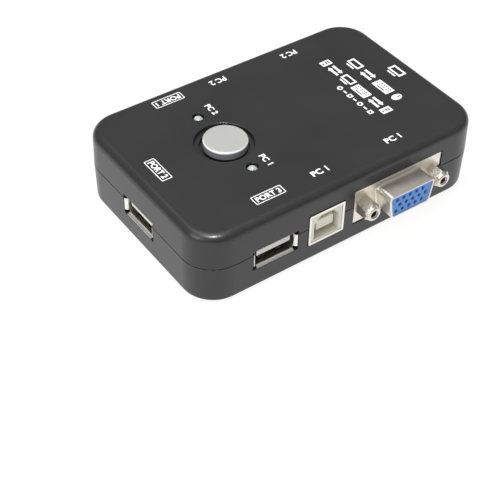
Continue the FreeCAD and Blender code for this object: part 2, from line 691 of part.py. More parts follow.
def vga_bracket():
    """Two steel brackets behind the flange, each with a nut plate and a peg through the board."""
    back = VGA_FLANGE_DEPTH + VGA_FLANGE_THICKNESS
    brackets = []
    for side in (-1, 1):
        x = side * JACK_SPACING / 2
        plate = box((x - 2.4, x + 2.4), (back, back + 1.6), (VGA_Z - VGA_FLANGE_HEIGHT / 2, VGA_Z + 4.6))
        shelf = box((x - 2.4, x + 2.4), (WALL + CUTOUT_GAP, 8.4), (BOARD_Z, BOARD_Z + 0.6))
        peg_depths = (VGA_PEG_DEPTH - 0.4, VGA_PEG_DEPTH + 0.4)
        peg = box((x - 0.9, x + 0.9), peg_depths, (TAIL_Z, BOARD_Z + 0.6))
        hole = bar(JACK_STUD_RADIUS, back - 1, back + 3, x, VGA_Z)
        brackets.append(join([plate, shelf, peg]).cut(hole))
    return Part.makeCompound(brackets)


def hex_bar(across_flats, start, end, x, z):
    """A six-sided bar along Y with flats at its top and bottom."""
    radius = across_flats / 2 / math.cos(math.radians(30))
    corners = []
    for index in range(6):
        angle = math.radians(60 * index)
        corners.append(V(x + radius * math.cos(angle), start, z + radius * math.sin(angle)))
    return Part.Face(Part.makePolygon(corners + corners[:1])).extrude(V(0, end - start, 0))


def jack_screws():
    """Two hexagonal jack screws: round nose, threaded mouth, and a stud through the flange."""
    screws = []
    face = VGA_FLANGE_DEPTH
    nose_length = 0.9
    for side in (-1, 1):
        x = side * JACK_SPACING / 2
        body = hex_bar(JACK_ACROSS_FLATS, -JACK_PROUD + nose_length, face, x, VGA_Z)
        cone_length = 2.4
        front = V(x, -JACK_PROUD + nose_length, VGA_Z)
        half = JACK_ACROSS_FLATS / 2
        chamfer = Part.makeCone(half, half + cone_length * 1.4, cone_length, front, V(0, 1, 0))
        rest = bar(JACK_ACROSS_FLATS, -JACK_PROUD + nose_length + cone_length, face, x, VGA_Z)
        body = body.common(chamfer.fuse(rest))
        nose = bar(JACK_ACROSS_FLATS / 2 - 0.2, -JACK_PROUD, -JACK_PROUD + nose_length, x, VGA_Z)
        nose_edge = [e for e in nose.Edges if all(abs(v.Y + JACK_PROUD) < 1e-4 for v in e.Vertexes)]
        nose = nose.makeFillet(0.3, nose_edge)
        stud = bar(JACK_STUD_RADIUS - 0.02, face, 5.0, x, VGA_Z)
        thread = bar(JACK_THREAD_RADIUS, -JACK_PROUD - 1, -JACK_PROUD + JACK_HOLE_LENGTH, x, VGA_Z)
        screws.append(join([body, nose, stud]).cut(thread))
    return Part.makeCompound(screws)


# --- USB type A socket, drawn for the front wall --------------------------------------------------
def flared_lip(width, angle):
    """A sheet that leaves the tube along Y and curls outwards through an arc, upwards as drawn."""
    radius = USB_A_LIP_RADIUS
    inner = radius - USB_A_SHEET
    rims = []
    for r in (radius, inner):
        arc = []
        for turn in (0, angle / 2, angle):
            arc.append(V(-width / 2, radius - r * math.sin(turn), radius - r * math.cos(turn)))
        rims.append(arc)
    outer, under = rims
    edges = [
        Part.Arc(*outer).toShape(),
        Part.makeLine(outer[2], under[2]),
        Part.Arc(*under[::-1]).toShape(),
        Part.makeLine(under[0], outer[0]),
    ]
    return Part.Face(Part.Wire(edges)).extrude(V(width, 0, 0))


def usb_a_lips():
    """The four flared lips around the mouth."""
    half_w = USB_A_OPENING[0] / 2
    half_h = USB_A_OPENING[1] / 2
    lips = []
    turns = ((0, 0, half_h, 0), (180, 0, -half_h, 0), (90, half_w, 0, 1), (-90, -half_w, 0, 1))
    for angle, x, z, kind in turns:
        lip = flared_lip(USB_A_LIP_WIDTHS[kind], USB_A_LIP_ANGLES[kind])
        lip.rotate(V(0, 0, 0), V(0, 1, 0), angle)
        lip.translate(V(x, 0, USB_A_Z + z))
        lips.append(lip)
    return lips


def usb_a_spring(x, side):
    """One bowed spring finger, and the window that it is cut from; side is 1 above and -1 below."""
    floor = USB_A_Z + side * USB_A_OPENING[1] / 2
    rims = []
    for sheet in (0, FINGER):
        shift = side * sheet
        rims.append((
            V(x - 1.0, 2.6, floor - side * USB_A_SPRING_BOW / 2 + shift),
            V(x - 1.0, 4.4, floor - side * USB_A_SPRING_BOW + shift),
            V(x - 1.0, 7.6, floor + shift),
        ))
    upper, lower = rims
    edges = [
        Part.Arc(*upper).toShape(),
        Part.makeLine(upper[2], lower[2]),
        Part.Arc(*lower[::-1]).toShape(),
        Part.makeLine(lower[0], upper[0]),
    ]
    finger = Part.Face(Part.Wire(edges)).extrude(V(2.0, 0, 0))
    low, high = sorted((floor - side * 0.1, floor + side * (USB_A_SHEET + 0.1)))
    window = box((x - 1.35, x + 1.35), (2.2, 7.3), (low, high))
    return finger, window


def usb_a_shell():
    """A folded sheet tube with flared lips and four spring fingers."""
    half_w = USB_A_OPENING[0] / 2
    half_h = USB_A_OPENING[1] / 2
    sheet = USB_A_SHEET
    start = USB_A_LIP_RADIUS
    outer_heights = (USB_A_Z - half_h - sheet, USB_A_Z + half_h + sheet)
    outer = box((-half_w - sheet, half_w + sheet), (start, USB_A_DEPTH), outer_heights)
    inner = box((-half_w, half_w), (start - 1, USB_A_DEPTH + 1), (USB_A_Z - half_h, USB_A_Z + half_h))
    tube = round_long_edges(outer, 0.4, V(0, 1, 0)).cut(inner)
    springs = [usb_a_spring(x, side) for x in (-2.9, 2.9) for side in (-1, 1)]
    tube = tube.cut([window for _, window in springs])
    pegs = []
    for side in (-1, 1):
        near, far = sorted((side * half_w, side * (half_w + sheet)))
        depths = (USB_A_PEG_DEPTH - 0.7, USB_A_PEG_DEPTH + 0.7)
        pegs.append(box((near, far), depths, (TAIL_Z, USB_A_Z)))
    return join([tube] + usb_a_lips() + [finger for finger, _ in springs] + pegs)


def usb_a_contact_list():
    """Four flat contacts under the tongue, with legs down behind the housing."""
    contacts = []
    under = USB_A_Z + USB_A_OPENING[1] / 2 - USB_A_TONGUE_GAP - USB_A_TONGUE[1]
    for (x, depth) in usb_a_tails():
        along = box((x - 0.5, x + 0.5), (1.9, depth + 0.15), (under - 0.25, under))
        down = box((x - 0.3, x + 0.3), (depth - 0.15, depth + 0.15), (TAIL_Z, under))
        contacts.append(join([along, down]))
    return contacts


def usb_a_housing():
    """The moulding: tongue, rear block, and a base plate under the tube."""
    half_w = USB_A_OPENING[0] / 2
    half_h = USB_A_OPENING[1] / 2
    roof = USB_A_Z + half_h
    tongue_top = roof - USB_A_TONGUE_GAP
    half_tongue = USB_A_TONGUE[0] / 2
    tongue = box((-half_tongue, half_tongue), (1.3, 11), (tongue_top - USB_A_TONGUE[1], tongue_top))
    block = box((-half_w, half_w), (10.5, USB_A_DEPTH + 0.6), (USB_A_Z - half_h, roof))
    floor = USB_A_Z - half_h - USB_A_SHEET
    base = box((-half_w + 0.1, half_w - 0.1), (3.4, USB_A_DEPTH + 0.6), (BOARD_Z, floor))
    riser = box((-half_w, half_w), (USB_A_DEPTH, USB_A_DEPTH + 0.6), (BOARD_Z, roof))
    housing = join([tongue, block, base, riser])
    return housing.cut(usb_a_contact_list())


# --- USB type B socket, drawn for the front wall --------------------------------------------------
def usb_b_mouth(grow, start, end):
    """The plug's outline: a square with its two upper corners cut off."""
    half_w = USB_B_OPENING[0] / 2 + grow
    half_h = USB_B_OPENING[1] / 2 + grow
    cut = USB_B_CHAMFER + grow * 0.6
    corners = [
        V(-half_w, start, USB_B_Z - half_h),
        V(half_w, start, USB_B_Z - half_h),
        V(half_w, start, USB_B_Z + half_h - cut),
        V(half_w - cut, start, USB_B_Z + half_h),
        V(-half_w + cut, start, USB_B_Z + half_h),
        V(-half_w, start, USB_B_Z + half_h - cut),
    ]
    solid = Part.Face(Part.makePolygon(corners + corners[:1])).extrude(V(0, end - start, 0))
    return round_long_edges(solid, 0.4, V(0, 1, 0))


def usb_b_shell():
    """A sheet tube around the moulding, folded in to a bezel in front, with two pegs through the board."""
    half_w = USB_B_FACE[0] / 2
    half_h = USB_B_FACE[1] / 2
    sheet = USB_B_SHEET
    outer = box((-half_w, half_w), (-USB_B_PROUD, USB_B_DEPTH), (USB_B_Z - half_h, USB_B_Z + half_h))
    inner_heights = (USB_B_Z - half_h + sheet, USB_B_Z + half_h - sheet)
    inner = box((-half_w + sheet, half_w - sheet), (USB_B_BEZEL_BACK, USB_B_DEPTH + 1), inner_heights)
    tube = round_long_edges(outer, 0.5, V(0, 1, 0)).cut(round_long_edges(inner, 0.2, V(0, 1, 0)))
    face_w = half_w - USB_B_BEZEL
    face_h = half_h - USB_B_BEZEL
    tube = tube.cut(box((-face_w, face_w), (-1, 1), (USB_B_Z - face_h, USB_B_Z + face_h)))
    window_heights = (BOARD_Z - 1, USB_B_Z - half_h + 1)
    tube = tube.cut(box((-half_w + 1, half_w - 1), (11.0, USB_B_DEPTH + 1), window_heights))
    pegs = []
    for side in (-1, 1):
        near, far = sorted((side * (half_w - sheet), side * half_w))
        depths = (USB_B_PEG_DEPTH - 0.6, USB_B_PEG_DEPTH + 0.6)
        pegs.append(box((near, far), depths, (TAIL_Z, USB_B_Z)))
    return join([tube] + pegs)


def usb_b_contact_list():
    """Two contacts on top of the tongue and two under it, with legs down behind."""
    contacts = []
    half_t = USB_B_TONGUE[1] / 2
    for index, (x, depth) in enumerate(usb_b_tails()):
        upper = index % 2 == 1
        low = USB_B_Z + half_t if upper else USB_B_Z - half_t - FINGER
        along = box((x - 0.5, x + 0.5), (1.6, depth + 0.15), (low, low + FINGER))
        down = box((x - 0.3, x + 0.3), (depth - 0.15, depth + 0.15), (TAIL_Z, low + FINGER))
        contacts.append(join([along, down]))
    return contacts


def usb_b_insert():
    """The light moulding that fills the shell, with the plug's opening and its tongue."""
    sheet = USB_B_SHEET
    half_w = USB_B_FACE[0] / 2 - sheet
    half_h = USB_B_FACE[1] / 2 - sheet
    block = box((-half_w, half_w), (USB_B_BEZEL_BACK, USB_B_DEPTH), (USB_B_Z - half_h, USB_B_Z + half_h))
    block = round_long_edges(block, 0.25, V(0, 1, 0))
    face_w = USB_B_FACE[0] / 2 - USB_B_BEZEL - USB_B_FACE_GAP
    face_h = USB_B_FACE[1] / 2 - USB_B_BEZEL - USB_B_FACE_GAP
    face = box((-face_w, face_w), (0, 1), (USB_B_Z - face_h, USB_B_Z + face_h))
    block = join([block, face])
    cavity = usb_b_mouth(0, -1, USB_B_CAVITY)
    half_tw = USB_B_TONGUE[0] / 2
    half_th = USB_B_TONGUE[1] / 2
    tongue = box((-half_tw, half_tw), (0.9, USB_B_CAVITY + 1), (USB_B_Z - half_th, USB_B_Z + half_th))
    tongue = round_long_edges(tongue, 0.3, V(0, 1, 0))
    return join([block.cut(cavity), tongue]).cut(usb_b_contact_list())


# --- parts on the board ---------------------------------------------------------------------------
def chip(x, y, width, depth, height):
    """A moulded chip body, just clear of the board, with a round dimple at pin 1."""
    across = (x - width / 2, x + width / 2)
    along = (y - depth / 2, y + depth / 2)
    body = box(across, along, (BOARD_Z + 0.1, BOARD_Z + height))
    dot = post(0.3, BOARD_Z + height - 0.08, BOARD_Z + height + 1, across[0] + 0.9, along[0] + 0.9)
    return round_long_edges(body, 0.15, UP).cut(dot)


def chip_legs(x, y, edge, count, pitch, along_x, side):
    """A row of gull-wing legs down one side of a chip, edge away from its middle."""
    legs = []
    for index in range(count):
        shift = (index - (count - 1) / 2) * pitch
        near, far = sorted((side * edge, side * (edge + 0.5)))
        foot_near, foot_far = sorted((side * (edge + 0.35), side * (edge + 1.0)))
        rows = ((near, far, 0.45, 0.6), (foot_near, foot_far, 0.0, 0.15))
        riser_near, riser_far = sorted((side * (edge + 0.35), side * (edge + 0.5)))
        rows += ((riser_near, riser_far, 0.0, 0.6),)
        pieces = []
        for low, high, bottom, top in rows:
            across = (shift - 0.12, shift + 0.12)
            spans = ((low + x, high + x), (across[0] + y, across[1] + y))
            if along_x:
                spans = ((across[0] + x, across[1] + x), (low + y, high + y))
            pieces.append(box(spans[0], spans[1], (BOARD_Z + bottom, BOARD_Z + top)))
        legs.append(join(pieces))
    return legs


CONTROLLER = (2.5, 0.0, 7.0, 7.0)
VIDEO_CHIPS = ((17.0, -8.0, 8.7, 3.9), (17.0, 0.0, 8.7, 3.9), (17.0, 8.0, 8.7, 3.9))
MEMORY_CHIP = (28.5, 0.0, 4.9, 3.9)


def controller_chip():
    x, y, width, depth = CONTROLLER
    return chip(x, y, width, depth, 1.4)


def video_switch_chips():
    return Part.makeCompound([chip(x, y, w, d, 1.5) for x, y, w, d in VIDEO_CHIPS])


def memory_chip():
    x, y, width, depth = MEMORY_CHIP
    return chip(x, y, width, depth, 1.5)


def chip_leads():
    legs = []
    x, y, width, depth = CONTROLLER
    for along_x, edge in ((True, depth / 2), (False, width / 2)):
        for side in (-1, 1):
            legs += chip_legs(x, y, edge, 12, 0.5, along_x, side)
    for x, y, width, depth in VIDEO_CHIPS:
        for side in (-1, 1):
            legs += chip_legs(x, y, depth / 2, 8, 1.0, True, side)
    x, y, width, depth = MEMORY_CHIP
    for side in (-1, 1):
        legs += chip_legs(x, y, depth / 2, 4, 1.27, True, side)
    return Part.makeCompound(legs)


def crystal():
    can = round_long_edges(box((-1.0, 9.8), (-13.2, -8.8), (BOARD_Z + 0.5, BOARD_Z + 3.5)), 2.1, UP)
    foot = round_long_edges(box((-1.4, 10.2), (-13.6, -8.4), (BOARD_Z, BOARD_Z + 0.5)), 2.4, UP)
    return join([can, foot])


def capacitor_cans():
    """Three upright electrolytic capacitors with a pinched neck."""
    cans = []
    for x, y in ((-4.0, 10.5), (3.0, 10.5), (-7.5, -10.5)):
        can = post(2.5, BOARD_Z, BOARD_Z + 7, x, y)
        can = round_edges_at(can, BOARD_Z + 7, 0.4)
        neck = Part.makeTorus(2.75, 0.5, V(x, y, BOARD_Z + 1.6), UP)
        cans.append(can.cut(neck))
    return Part.makeCompound(cans)


def small_blocks(places, size):
    length, width, height = size
    blocks = []
    for x, y in places:
        across = (x - length / 2, x + length / 2)
        along = (y - width / 2, y + width / 2)
        blocks.append(box(across, along, (BOARD_Z, BOARD_Z + height)))
    return Part.makeCompound(blocks)


def chip_capacitors():
    places = [(10.0 + 2.6 * i, 12.5) for i in range(4)] + [(10.0 + 2.6 * i, -12.5) for i in range(2, 6)]
    places += [(-3.5, -4.5 + 2.2 * i) for i in range(4)]
    return small_blocks(places, (1.6, 0.8, 0.8))


def chip_resistors():
    places = [(23.6, -9.0 + 2.4 * i) for i in range(8)] + [(9.6, -6.0 + 2.0 * i) for i in range(7)]
    return small_blocks(places, (1.6, 0.8, 0.45))


# --- write every node -----------------------------------------------------------------------------
def main():
    os.makedirs("parts", exist_ok=True)
    save("top_cover", top_cover())
    save("bottom_cover", bottom_cover())
    save("case_screws", case_screws())
    for name, (x, y) in foot_places().items():
        save("foot_" + name, rubber_foot(x, y))
    save("circuit_board", circuit_board())
    save("board_screws", board_screws())
    save("select_button", select_button())
    save("switch_base", switch_base())
    save("switch_cover", switch_cover())
    save("switch_dome", switch_dome())
    save("switch_plunger", switch_plunger())
    save("switch_terminals", switch_terminals())
    for name, (x, y) in lamp_places().items():
        save(name, lamp_lens(x, y))
    save("lamp_spacers", lamp_spacers())
    save("lamp_leads", lamp_leads())
    vga_pieces = {
        "shell": vga_shell(),
        "insert": vga_insert(),
        "contacts": vga_contacts(),
        "bracket": vga_bracket(),
        "jack_screws": jack_screws(),
    }
    for name, place in VGA_SEATS.items():
        for piece, shape in vga_pieces.items():
            save("vga_" + name + "_" + piece, seat(shape, place))
    usb_a_pieces = {
        "shell": usb_a_shell(),
        "housing": usb_a_housing(),
        "contacts": Part.makeCompound(usb_a_contact_list()),
    }
    for name, place in USB_A_SEATS.items():
        for piece, shape in usb_a_pieces.items():
            save(name + "_" + piece, seat(shape, place))
    usb_b_pieces = {
        "shell": usb_b_shell(),
        "insert": usb_b_insert(),
        "contacts": Part.makeCompound(usb_b_contact_list()),
    }
    for name, place in USB_B_SEATS.items():
        for piece, shape in usb_b_pieces.items():
            save("usb_b_" + name + "_" + piece, seat(shape, place))
    save("controller_chip", controller_chip())
    save("video_switch_chips", video_switch_chips())
    save("memory_chip", memory_chip())
    save("chip_leads", chip_leads())
    save("crystal", crystal())
    save("capacitor_cans", capacitor_cans())
    save("chip_capacitors", chip_capacitors())
    save("chip_resistors", chip_resistors())


main()
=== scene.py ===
import json
import math

import bmesh
import bpy
import numpy as np
from bpy.props import FloatProperty, FloatVectorProperty, IntProperty, PointerProperty
from mathutils import Matrix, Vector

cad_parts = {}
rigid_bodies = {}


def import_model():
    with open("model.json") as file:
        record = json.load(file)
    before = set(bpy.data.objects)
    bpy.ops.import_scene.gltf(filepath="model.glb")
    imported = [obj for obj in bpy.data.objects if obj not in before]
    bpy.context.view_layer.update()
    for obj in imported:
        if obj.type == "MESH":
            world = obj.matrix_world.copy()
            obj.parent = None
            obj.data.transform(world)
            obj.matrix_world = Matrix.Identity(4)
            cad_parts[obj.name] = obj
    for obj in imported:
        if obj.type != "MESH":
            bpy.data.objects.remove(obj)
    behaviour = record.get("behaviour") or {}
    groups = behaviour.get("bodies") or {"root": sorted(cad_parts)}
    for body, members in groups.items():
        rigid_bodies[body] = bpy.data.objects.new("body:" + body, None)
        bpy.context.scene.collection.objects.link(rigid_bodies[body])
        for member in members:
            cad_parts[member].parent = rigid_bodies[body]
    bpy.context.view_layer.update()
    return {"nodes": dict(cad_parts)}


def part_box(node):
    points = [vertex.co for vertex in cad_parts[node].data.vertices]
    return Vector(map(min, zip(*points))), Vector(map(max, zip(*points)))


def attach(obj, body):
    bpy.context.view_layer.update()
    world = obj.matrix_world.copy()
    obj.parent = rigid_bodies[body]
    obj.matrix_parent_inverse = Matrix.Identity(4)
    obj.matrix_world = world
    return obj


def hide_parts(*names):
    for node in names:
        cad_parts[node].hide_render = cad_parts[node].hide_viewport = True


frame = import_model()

bl_info = {
    "name": "Switch Box Looks",
    "version": (1, 0, 0),
    "blender": (4, 5, 0),
    "location": "3D View > Sidebar > Switch Box",
    "description": "Finishes for a two-computer video and peripheral switch box",
    "category": "Object",
}

# Lengths are in metres, as in the frame. MM turns a size in millimetres into metres.
MM = 0.001

# --- places, read from the frame ------------------------------------------------------------------
case_low, case_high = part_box("bottom_cover")
CASE_MIDDLE_X = (case_low.x + case_high.x) / 2
TOP_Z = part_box("top_cover")[1].z
button_low, button_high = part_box("select_button")
BUTTON_X = (button_low.x + button_high.x) / 2
BUTTON_Y = (button_low.y + button_high.y) / 2
socket_low, socket_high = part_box("vga_pc_1_shell")
SHELL_PROUD = case_low.y - socket_low.y
JACK_PROUD = case_low.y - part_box("vga_pc_1_jack_screws")[0].y
COVER_UNDERSIDE = TOP_Z - 2.05 * MM
LAMP_NODES = ("lamp_pc_1", "lamp_pc_2")
FOOT_NODES = ("foot_front_left", "foot_front_right", "foot_back_left", "foot_back_right")
VIDEO_TURNS = {"pc_1": 0, "pc_2": 180, "monitor": 90}
VIDEO = tuple("vga_" + name for name in VIDEO_TURNS)
USB_A = ("usb_1", "usb_2", "usb_3")
USB_B = ("usb_b_pc_1", "usb_b_pc_2")

# --- numbers of the stage -------------------------------------------------------------------------
WHITE = (1.0, 1.0, 1.0)
# Where the camera stands, from the point of the desk under the middle of the case.
CAMERA_PLACE = np.array([-163.19, -207.68, 226.50]) * MM
CAMERA_SENSOR = 36.0
# Each softbox: its place, the point that it faces, its two sides, and the setting with its power.
OBJECT_MIDDLE = (0.0, 0.0, 0.01)
SOFTBOXES = {
    "overhead": ((-0.12, 0.15, 0.95), OBJECT_MIDDLE, (0.9, 0.7), "key"),
    "left_side": ((-0.9, -0.1, 0.5), OBJECT_MIDDLE, (0.5, 0.5), "side"),
    "near_corner": ((-0.16, -0.215, 0.86), (-0.045, -0.03, 0.02), (0.10, 0.08), "spot"),
}
# What the near softbox doesn't light: the floor and the sockets, by the starts of their names.
UNLIT_BY_NEAR = ("video_", "vga_", "usb_", "floor")

# --- colours of what lies in the shade ------------------------------------------------------------
SHADE_BLACK = (0.004, 0.004, 0.004)
BORE_SHADE_BLACK = (0.012, 0.011, 0.01)


def seat_of(node, turn):
    """Where a socket sits: the middle of its node along its wall, the wall's plane, and its turn."""
    low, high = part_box(node)
    middle = (low + high) / 2
    x, y = middle.x, middle.y
    if turn in (0, 180):
        y = case_low.y if turn == 0 else case_high.y
    else:
        x = case_high.x if turn == 90 else case_low.x
    return x, y, math.radians(turn)


# --- sizes and colours that a user would change ---------------------------------------------------
def length(name, description, default):
    """A size in metres, shown in the scene's unit of length."""
    return FloatProperty(name=name, description=description, default=default, unit="LENGTH", precision=5)


def paint(name, description, default):
    """A linear colour."""
    return FloatVectorProperty(
        name=name, description=description, default=default, subtype="COLOR", size=3, min=0.0, max=1.0)


def power(name, description, default):
    """The power of a light in watts."""
    return FloatProperty(name=name, description=description, default=default, subtype="POWER")


def tilt(name, description, degrees):
    """An angle, given in degrees."""
    return FloatProperty(name=name, description=description, default=math.radians(degrees), subtype="ANGLE")


class SWITCHBOX_PG_case(bpy.types.PropertyGroup):
    """How the two moulded covers look."""

    colour: paint("Plastic", "Charcoal of the covers", (0.0195, 0.0195, 0.0202))
    grain: length("Grain", "Size of the moulded texture", 0.22 * MM)
    edge: length("Edge", "Roundness that an edge shows", 0.14 * MM)


class SWITCHBOX_PG_button(bpy.types.PropertyGroup):
    """Sizes of the round select button."""

    radius: length("Radius", "Radius of the cap", 6.28 * MM)
    rim: length("Rim", "Radius of the rounded rim", 0.60 * MM)
    hollow: length("Sink", "How far the middle of the cap is sunk", 0.06 * MM)
    flange: length("Flange", "Thickness of the flange under the cover", 1.0 * MM)
    wall: length("Wall", "Thickness of the cap", 1.2 * MM)
    colour: paint("Silver", "Paint of the cap's face and rim", (0.38, 0.38, 0.36))
    # The rim's lighter colour is a painted highlight.
    rim_highlight_colour: paint("Rim", "Polished paint of the rim", (0.80, 0.80, 0.78))
    # The side's darker bluish grey is painted shade.
    side: paint("Side", "Bare moulding of the cap's side", (0.20, 0.20, 0.235))
    # Below this depth the cap is painted black as shade from the cover.
    painted_shade_start: length("Skirt", "Depth below the face where the cap turns black", 2.5 * MM)


class SWITCHBOX_PG_lamps(bpy.types.PropertyGroup):
    """Sizes of the two signal lamps."""

    radius: length("Radius", "Radius of the lens", 1.5 * MM)
    flange: length("Flange", "How much wider the foot of the lens is", 0.4 * MM)
    cup: length("Cup", "Radius of the little mirror cup inside", 0.62 * MM)


class SWITCHBOX_PG_sockets(bpy.types.PropertyGroup):
    """Sizes of the sockets' metal parts."""

    jack_flats: length("Jack flats", "Width across the flats of a jack screw", 4.75 * MM)
    jack_proud: length("Jack length", "How far a jack screw stands out of the wall", JACK_PROUD)
    jack_spacing: length("Jack spacing", "Distance between a socket's two jack screws", 24.99 * MM)
    thread: length("Thread pitch", "Pitch of the jack screws' inner thread", 0.635 * MM)
    shell_width: length("Shell width", "Width of the D shell", 16.5 * MM)
    shell_height: length("Shell height", "Height of the D shell", 7.9 * MM)
    shell_proud: length("Shell length", "How far the D shell stands out of the wall", SHELL_PROUD)
    shell_corner: length("Shell corner", "Radius of the D shell's corners", 1.3 * MM)
    shell_wall: length("Shell wall", "Rolled sheet of the D shell", 0.6 * MM)
    shell_root: length("Shell root", "Radius where the D shell leaves the plate", 0.6 * MM)
    flange_width: length("Flange width", "Width of the plate behind it", socket_high.x - socket_low.x)
    flange_height: length("Flange height", "Height of the plate behind it", socket_high.z - socket_low.z)
    plating: paint("Plating", "Nickel of the video sockets", (0.80, 0.755, 0.67))
    moulding: paint("Insert", "Blue of the video sockets", (0.085, 0.28, 0.72))


class SWITCHBOX_PG_print(bpy.types.PropertyGroup):
    """The white marks on the top."""

    thickness: length("Ink", "Thickness of the printed marks", 0.02 * MM)
    line: length("Line", "Width of a frame's line", 0.27 * MM)
    colour: paint("Ink colour", "Colour of the marks", (0.86, 0.86, 0.86))


class SWITCHBOX_PG_stage(bpy.types.PropertyGroup):
    """Floor, lights and camera."""

    floor: paint("Floor", "Colour of the floor", (0.22, 0.22, 0.22))
    glow: FloatProperty(name="Glow", description="Strength of the floor's own light", default=0.90)
    sky: FloatProperty(name="Sky", description="Strength of the light from straight above", default=0.50)
    horizon: FloatProperty(name="Horizon", description="Strength of light from the horizon", default=0.16)
    key: power("Key", "Power of the overhead softbox", 3.35)
    spot: power("Spot", "Power of the small near light", 6.0)
    side: power("Side", "Power of the left softbox", 3.3)
    lens: FloatProperty(name="Lens", description="Focal length", default=85.49, subtype="DISTANCE_CAMERA")
    azimuth: tilt("Azimuth", "Turn of the view", -36.34)
    elevation: tilt("Elevation", "Height of the view", 43.84)
    roll: tilt("Roll", "Tilt of the view", 1.34)
    segments: IntProperty(name="Segments", description="Steps around a round piece", default=96, min=24)


# --- shapes as whole arrays -----------------------------------------------------------------------
def skin(grid, close_rows=False, close_columns=True):
    """Points and quads of a surface from its (rows, columns, 3) grid: each cell is one quad."""
    rows, columns = grid.shape[:2]
    index = np.arange(rows * columns).reshape(rows, columns)
    if close_rows:
        index = np.vstack([index, index[:1]])
    if close_columns:
        index = np.hstack([index, index[:, :1]])
    corners = (index[:-1, :-1], index[:-1, 1:], index[1:, 1:], index[1:, :-1])
    quads = np.stack([corner.ravel() for corner in corners], axis=1)
    return grid.reshape(-1, 3), quads.tolist()


def lathe(profile, segments):
    """A turned surface: every (radius, height) of the profile is carried round the upright axis."""
    radius, height = np.array(profile, float).T
    angle = np.linspace(0, 2 * math.pi, segments, endpoint=False)
    x = radius[:, None] * np.cos(angle)
    y = radius[:, None] * np.sin(angle)
    z = np.broadcast_to(height[:, None], x.shape)
    return skin(np.stack([x, y, z], axis=2))


def arc(centre, radius, start, end, steps):
    """Points of an arc in a profile, from one angle in degrees to another."""
    angle = np.radians(np.linspace(start, end, steps))
    return np.stack([centre[0] + radius * np.cos(angle), centre[1] + radius * np.sin(angle)], axis=1)


def rounded(corners, radius, grow=0.0, steps=9):
    """A convex outline with equal round corners, grown outwards: each corner is an arc whose centre
    stays where the two sides, drawn in by the radius, meet, and whose radius grows by the offset."""
    points = np.array(corners, float)
    before = np.roll(points, 1, axis=0)
    after = np.roll(points, -1, axis=0)
    ahead = after - points
    ahead /= np.linalg.norm(ahead, axis=1)[:, None]
    behind = before - points
    behind /= np.linalg.norm(behind, axis=1)[:, None]
    bisector = ahead + behind
    bisector /= np.linalg.norm(bisector, axis=1)[:, None]
    half = np.arccos(np.clip((ahead * behind).sum(1), -1, 1)) / 2
    centre = points + bisector * (radius / np.sin(half))[:, None]
    middle = np.arctan2(-bisector[:, 1], -bisector[:, 0])
    sweep = math.pi / 2 - half
    turn = middle[:, None] + sweep[:, None] * np.linspace(-1, 1, steps)
    ring = np.stack([np.cos(turn), np.sin(turn)], axis=2) * (radius + grow)
    return (centre[:, None, :] + ring).reshape(-1, 2)


def rectangle(width, height, radius, grow=0.0, steps=7):
    """A rectangle with round corners about the origin, grown outwards by an offset."""
    w, h = width / 2, height / 2
    return rounded([(w, -h), (w, h), (-w, h), (-w, -h)], radius, grow, steps)


def circle(radius, x=0.0, y=0.0, steps=32):
    """A round outline."""
    angle = np.linspace(0, 2 * math.pi, steps, endpoint=False)
    return np.stack([x + radius * np.cos(angle), y + radius * np.sin(angle)], axis=1)


def carried(outline, profile, close=False):
    """A profile carried along an outline: row i is the outline grown by offset i, at depth i."""
    rows = []
    for grow, depth in profile:
        flat = outline(grow)
        rows.append(np.column_stack([flat[:, 0], np.full(len(flat), depth), flat[:, 1]]))
    return skin(np.array(rows), close_rows=close)


def together(parts):
    """Several surfaces as one list of points and one of faces."""
    points, faces, start = [], [], 0
    for part_points, part_faces in parts:
        points.append(part_points)
        faces += [[corner + start for corner in face] for face in part_faces]
        start += len(part_points)
    return np.vstack(points), faces


def moved(part, x=0.0, y=0.0, z=0.0, turn=0.0):
    """A surface turned about the upright axis and then shifted."""
    points, faces = part
    cos, sin = math.cos(turn), math.sin(turn)
    matrix = np.array([[cos, -sin, 0.0], [sin, cos, 0.0], [0.0, 0.0, 1.0]])
    return points @ matrix.T + np.array([x, y, z]), faces


def upright(part, depth=0.0):
    """A flat plate stood up on the front wall: its X stays, its Y goes up and its Z faces out."""
    points, faces = part
    return np.column_stack([points[:, 0], depth - points[:, 2], points[:, 1]]), faces


def shown_as(name, data):
    """A new object in the scene that shows some data."""
    shown = bpy.data.objects.new(name, data)
    bpy.context.scene.collection.objects.link(shown)
    return shown


def curve_mesh(curve):
    """The points and faces of a flat curve or a text, as its own fill makes them."""
    carrier = shown_as("flat", curve)
    bpy.context.view_layer.update()
    graph = bpy.context.evaluated_depsgraph_get()
    mesh = bpy.data.meshes.new_from_object(carrier.evaluated_get(graph))
    points = np.empty(len(mesh.vertices) * 3)
    mesh.vertices.foreach_get("co", points)
    faces = [list(face.vertices) for face in mesh.polygons]
    bpy.data.objects.remove(carrier)
    bpy.data.curves.remove(curve)
    bpy.data.meshes.remove(mesh)
    return points.reshape(-1, 3), faces


def plate(outlines, thickness, edge=0.0):
    """A flat plate between two heights, half above and half below: the first outline is its edge, the
    outlines inside it are holes, and every rim is rounded by the edge radius."""
    curve = bpy.data.curves.new("plate", "CURVE")
    curve.dimensions = "2D"
    curve.fill_mode = "BOTH"
    curve.extrude = thickness / 2 - edge
    curve.bevel_depth = edge
    curve.bevel_resolution = 2
    curve.offset = -edge
    for outline in outlines:
        spline = curve.splines.new("POLY")
        spline.points.add(len(outline) - 1)
        flat = np.column_stack([outline, np.zeros(len(outline)), np.ones(len(outline))])
        spline.points.foreach_set("co", flat.ravel())
        spline.use_cyclic_u = True
    return curve_mesh(curve)


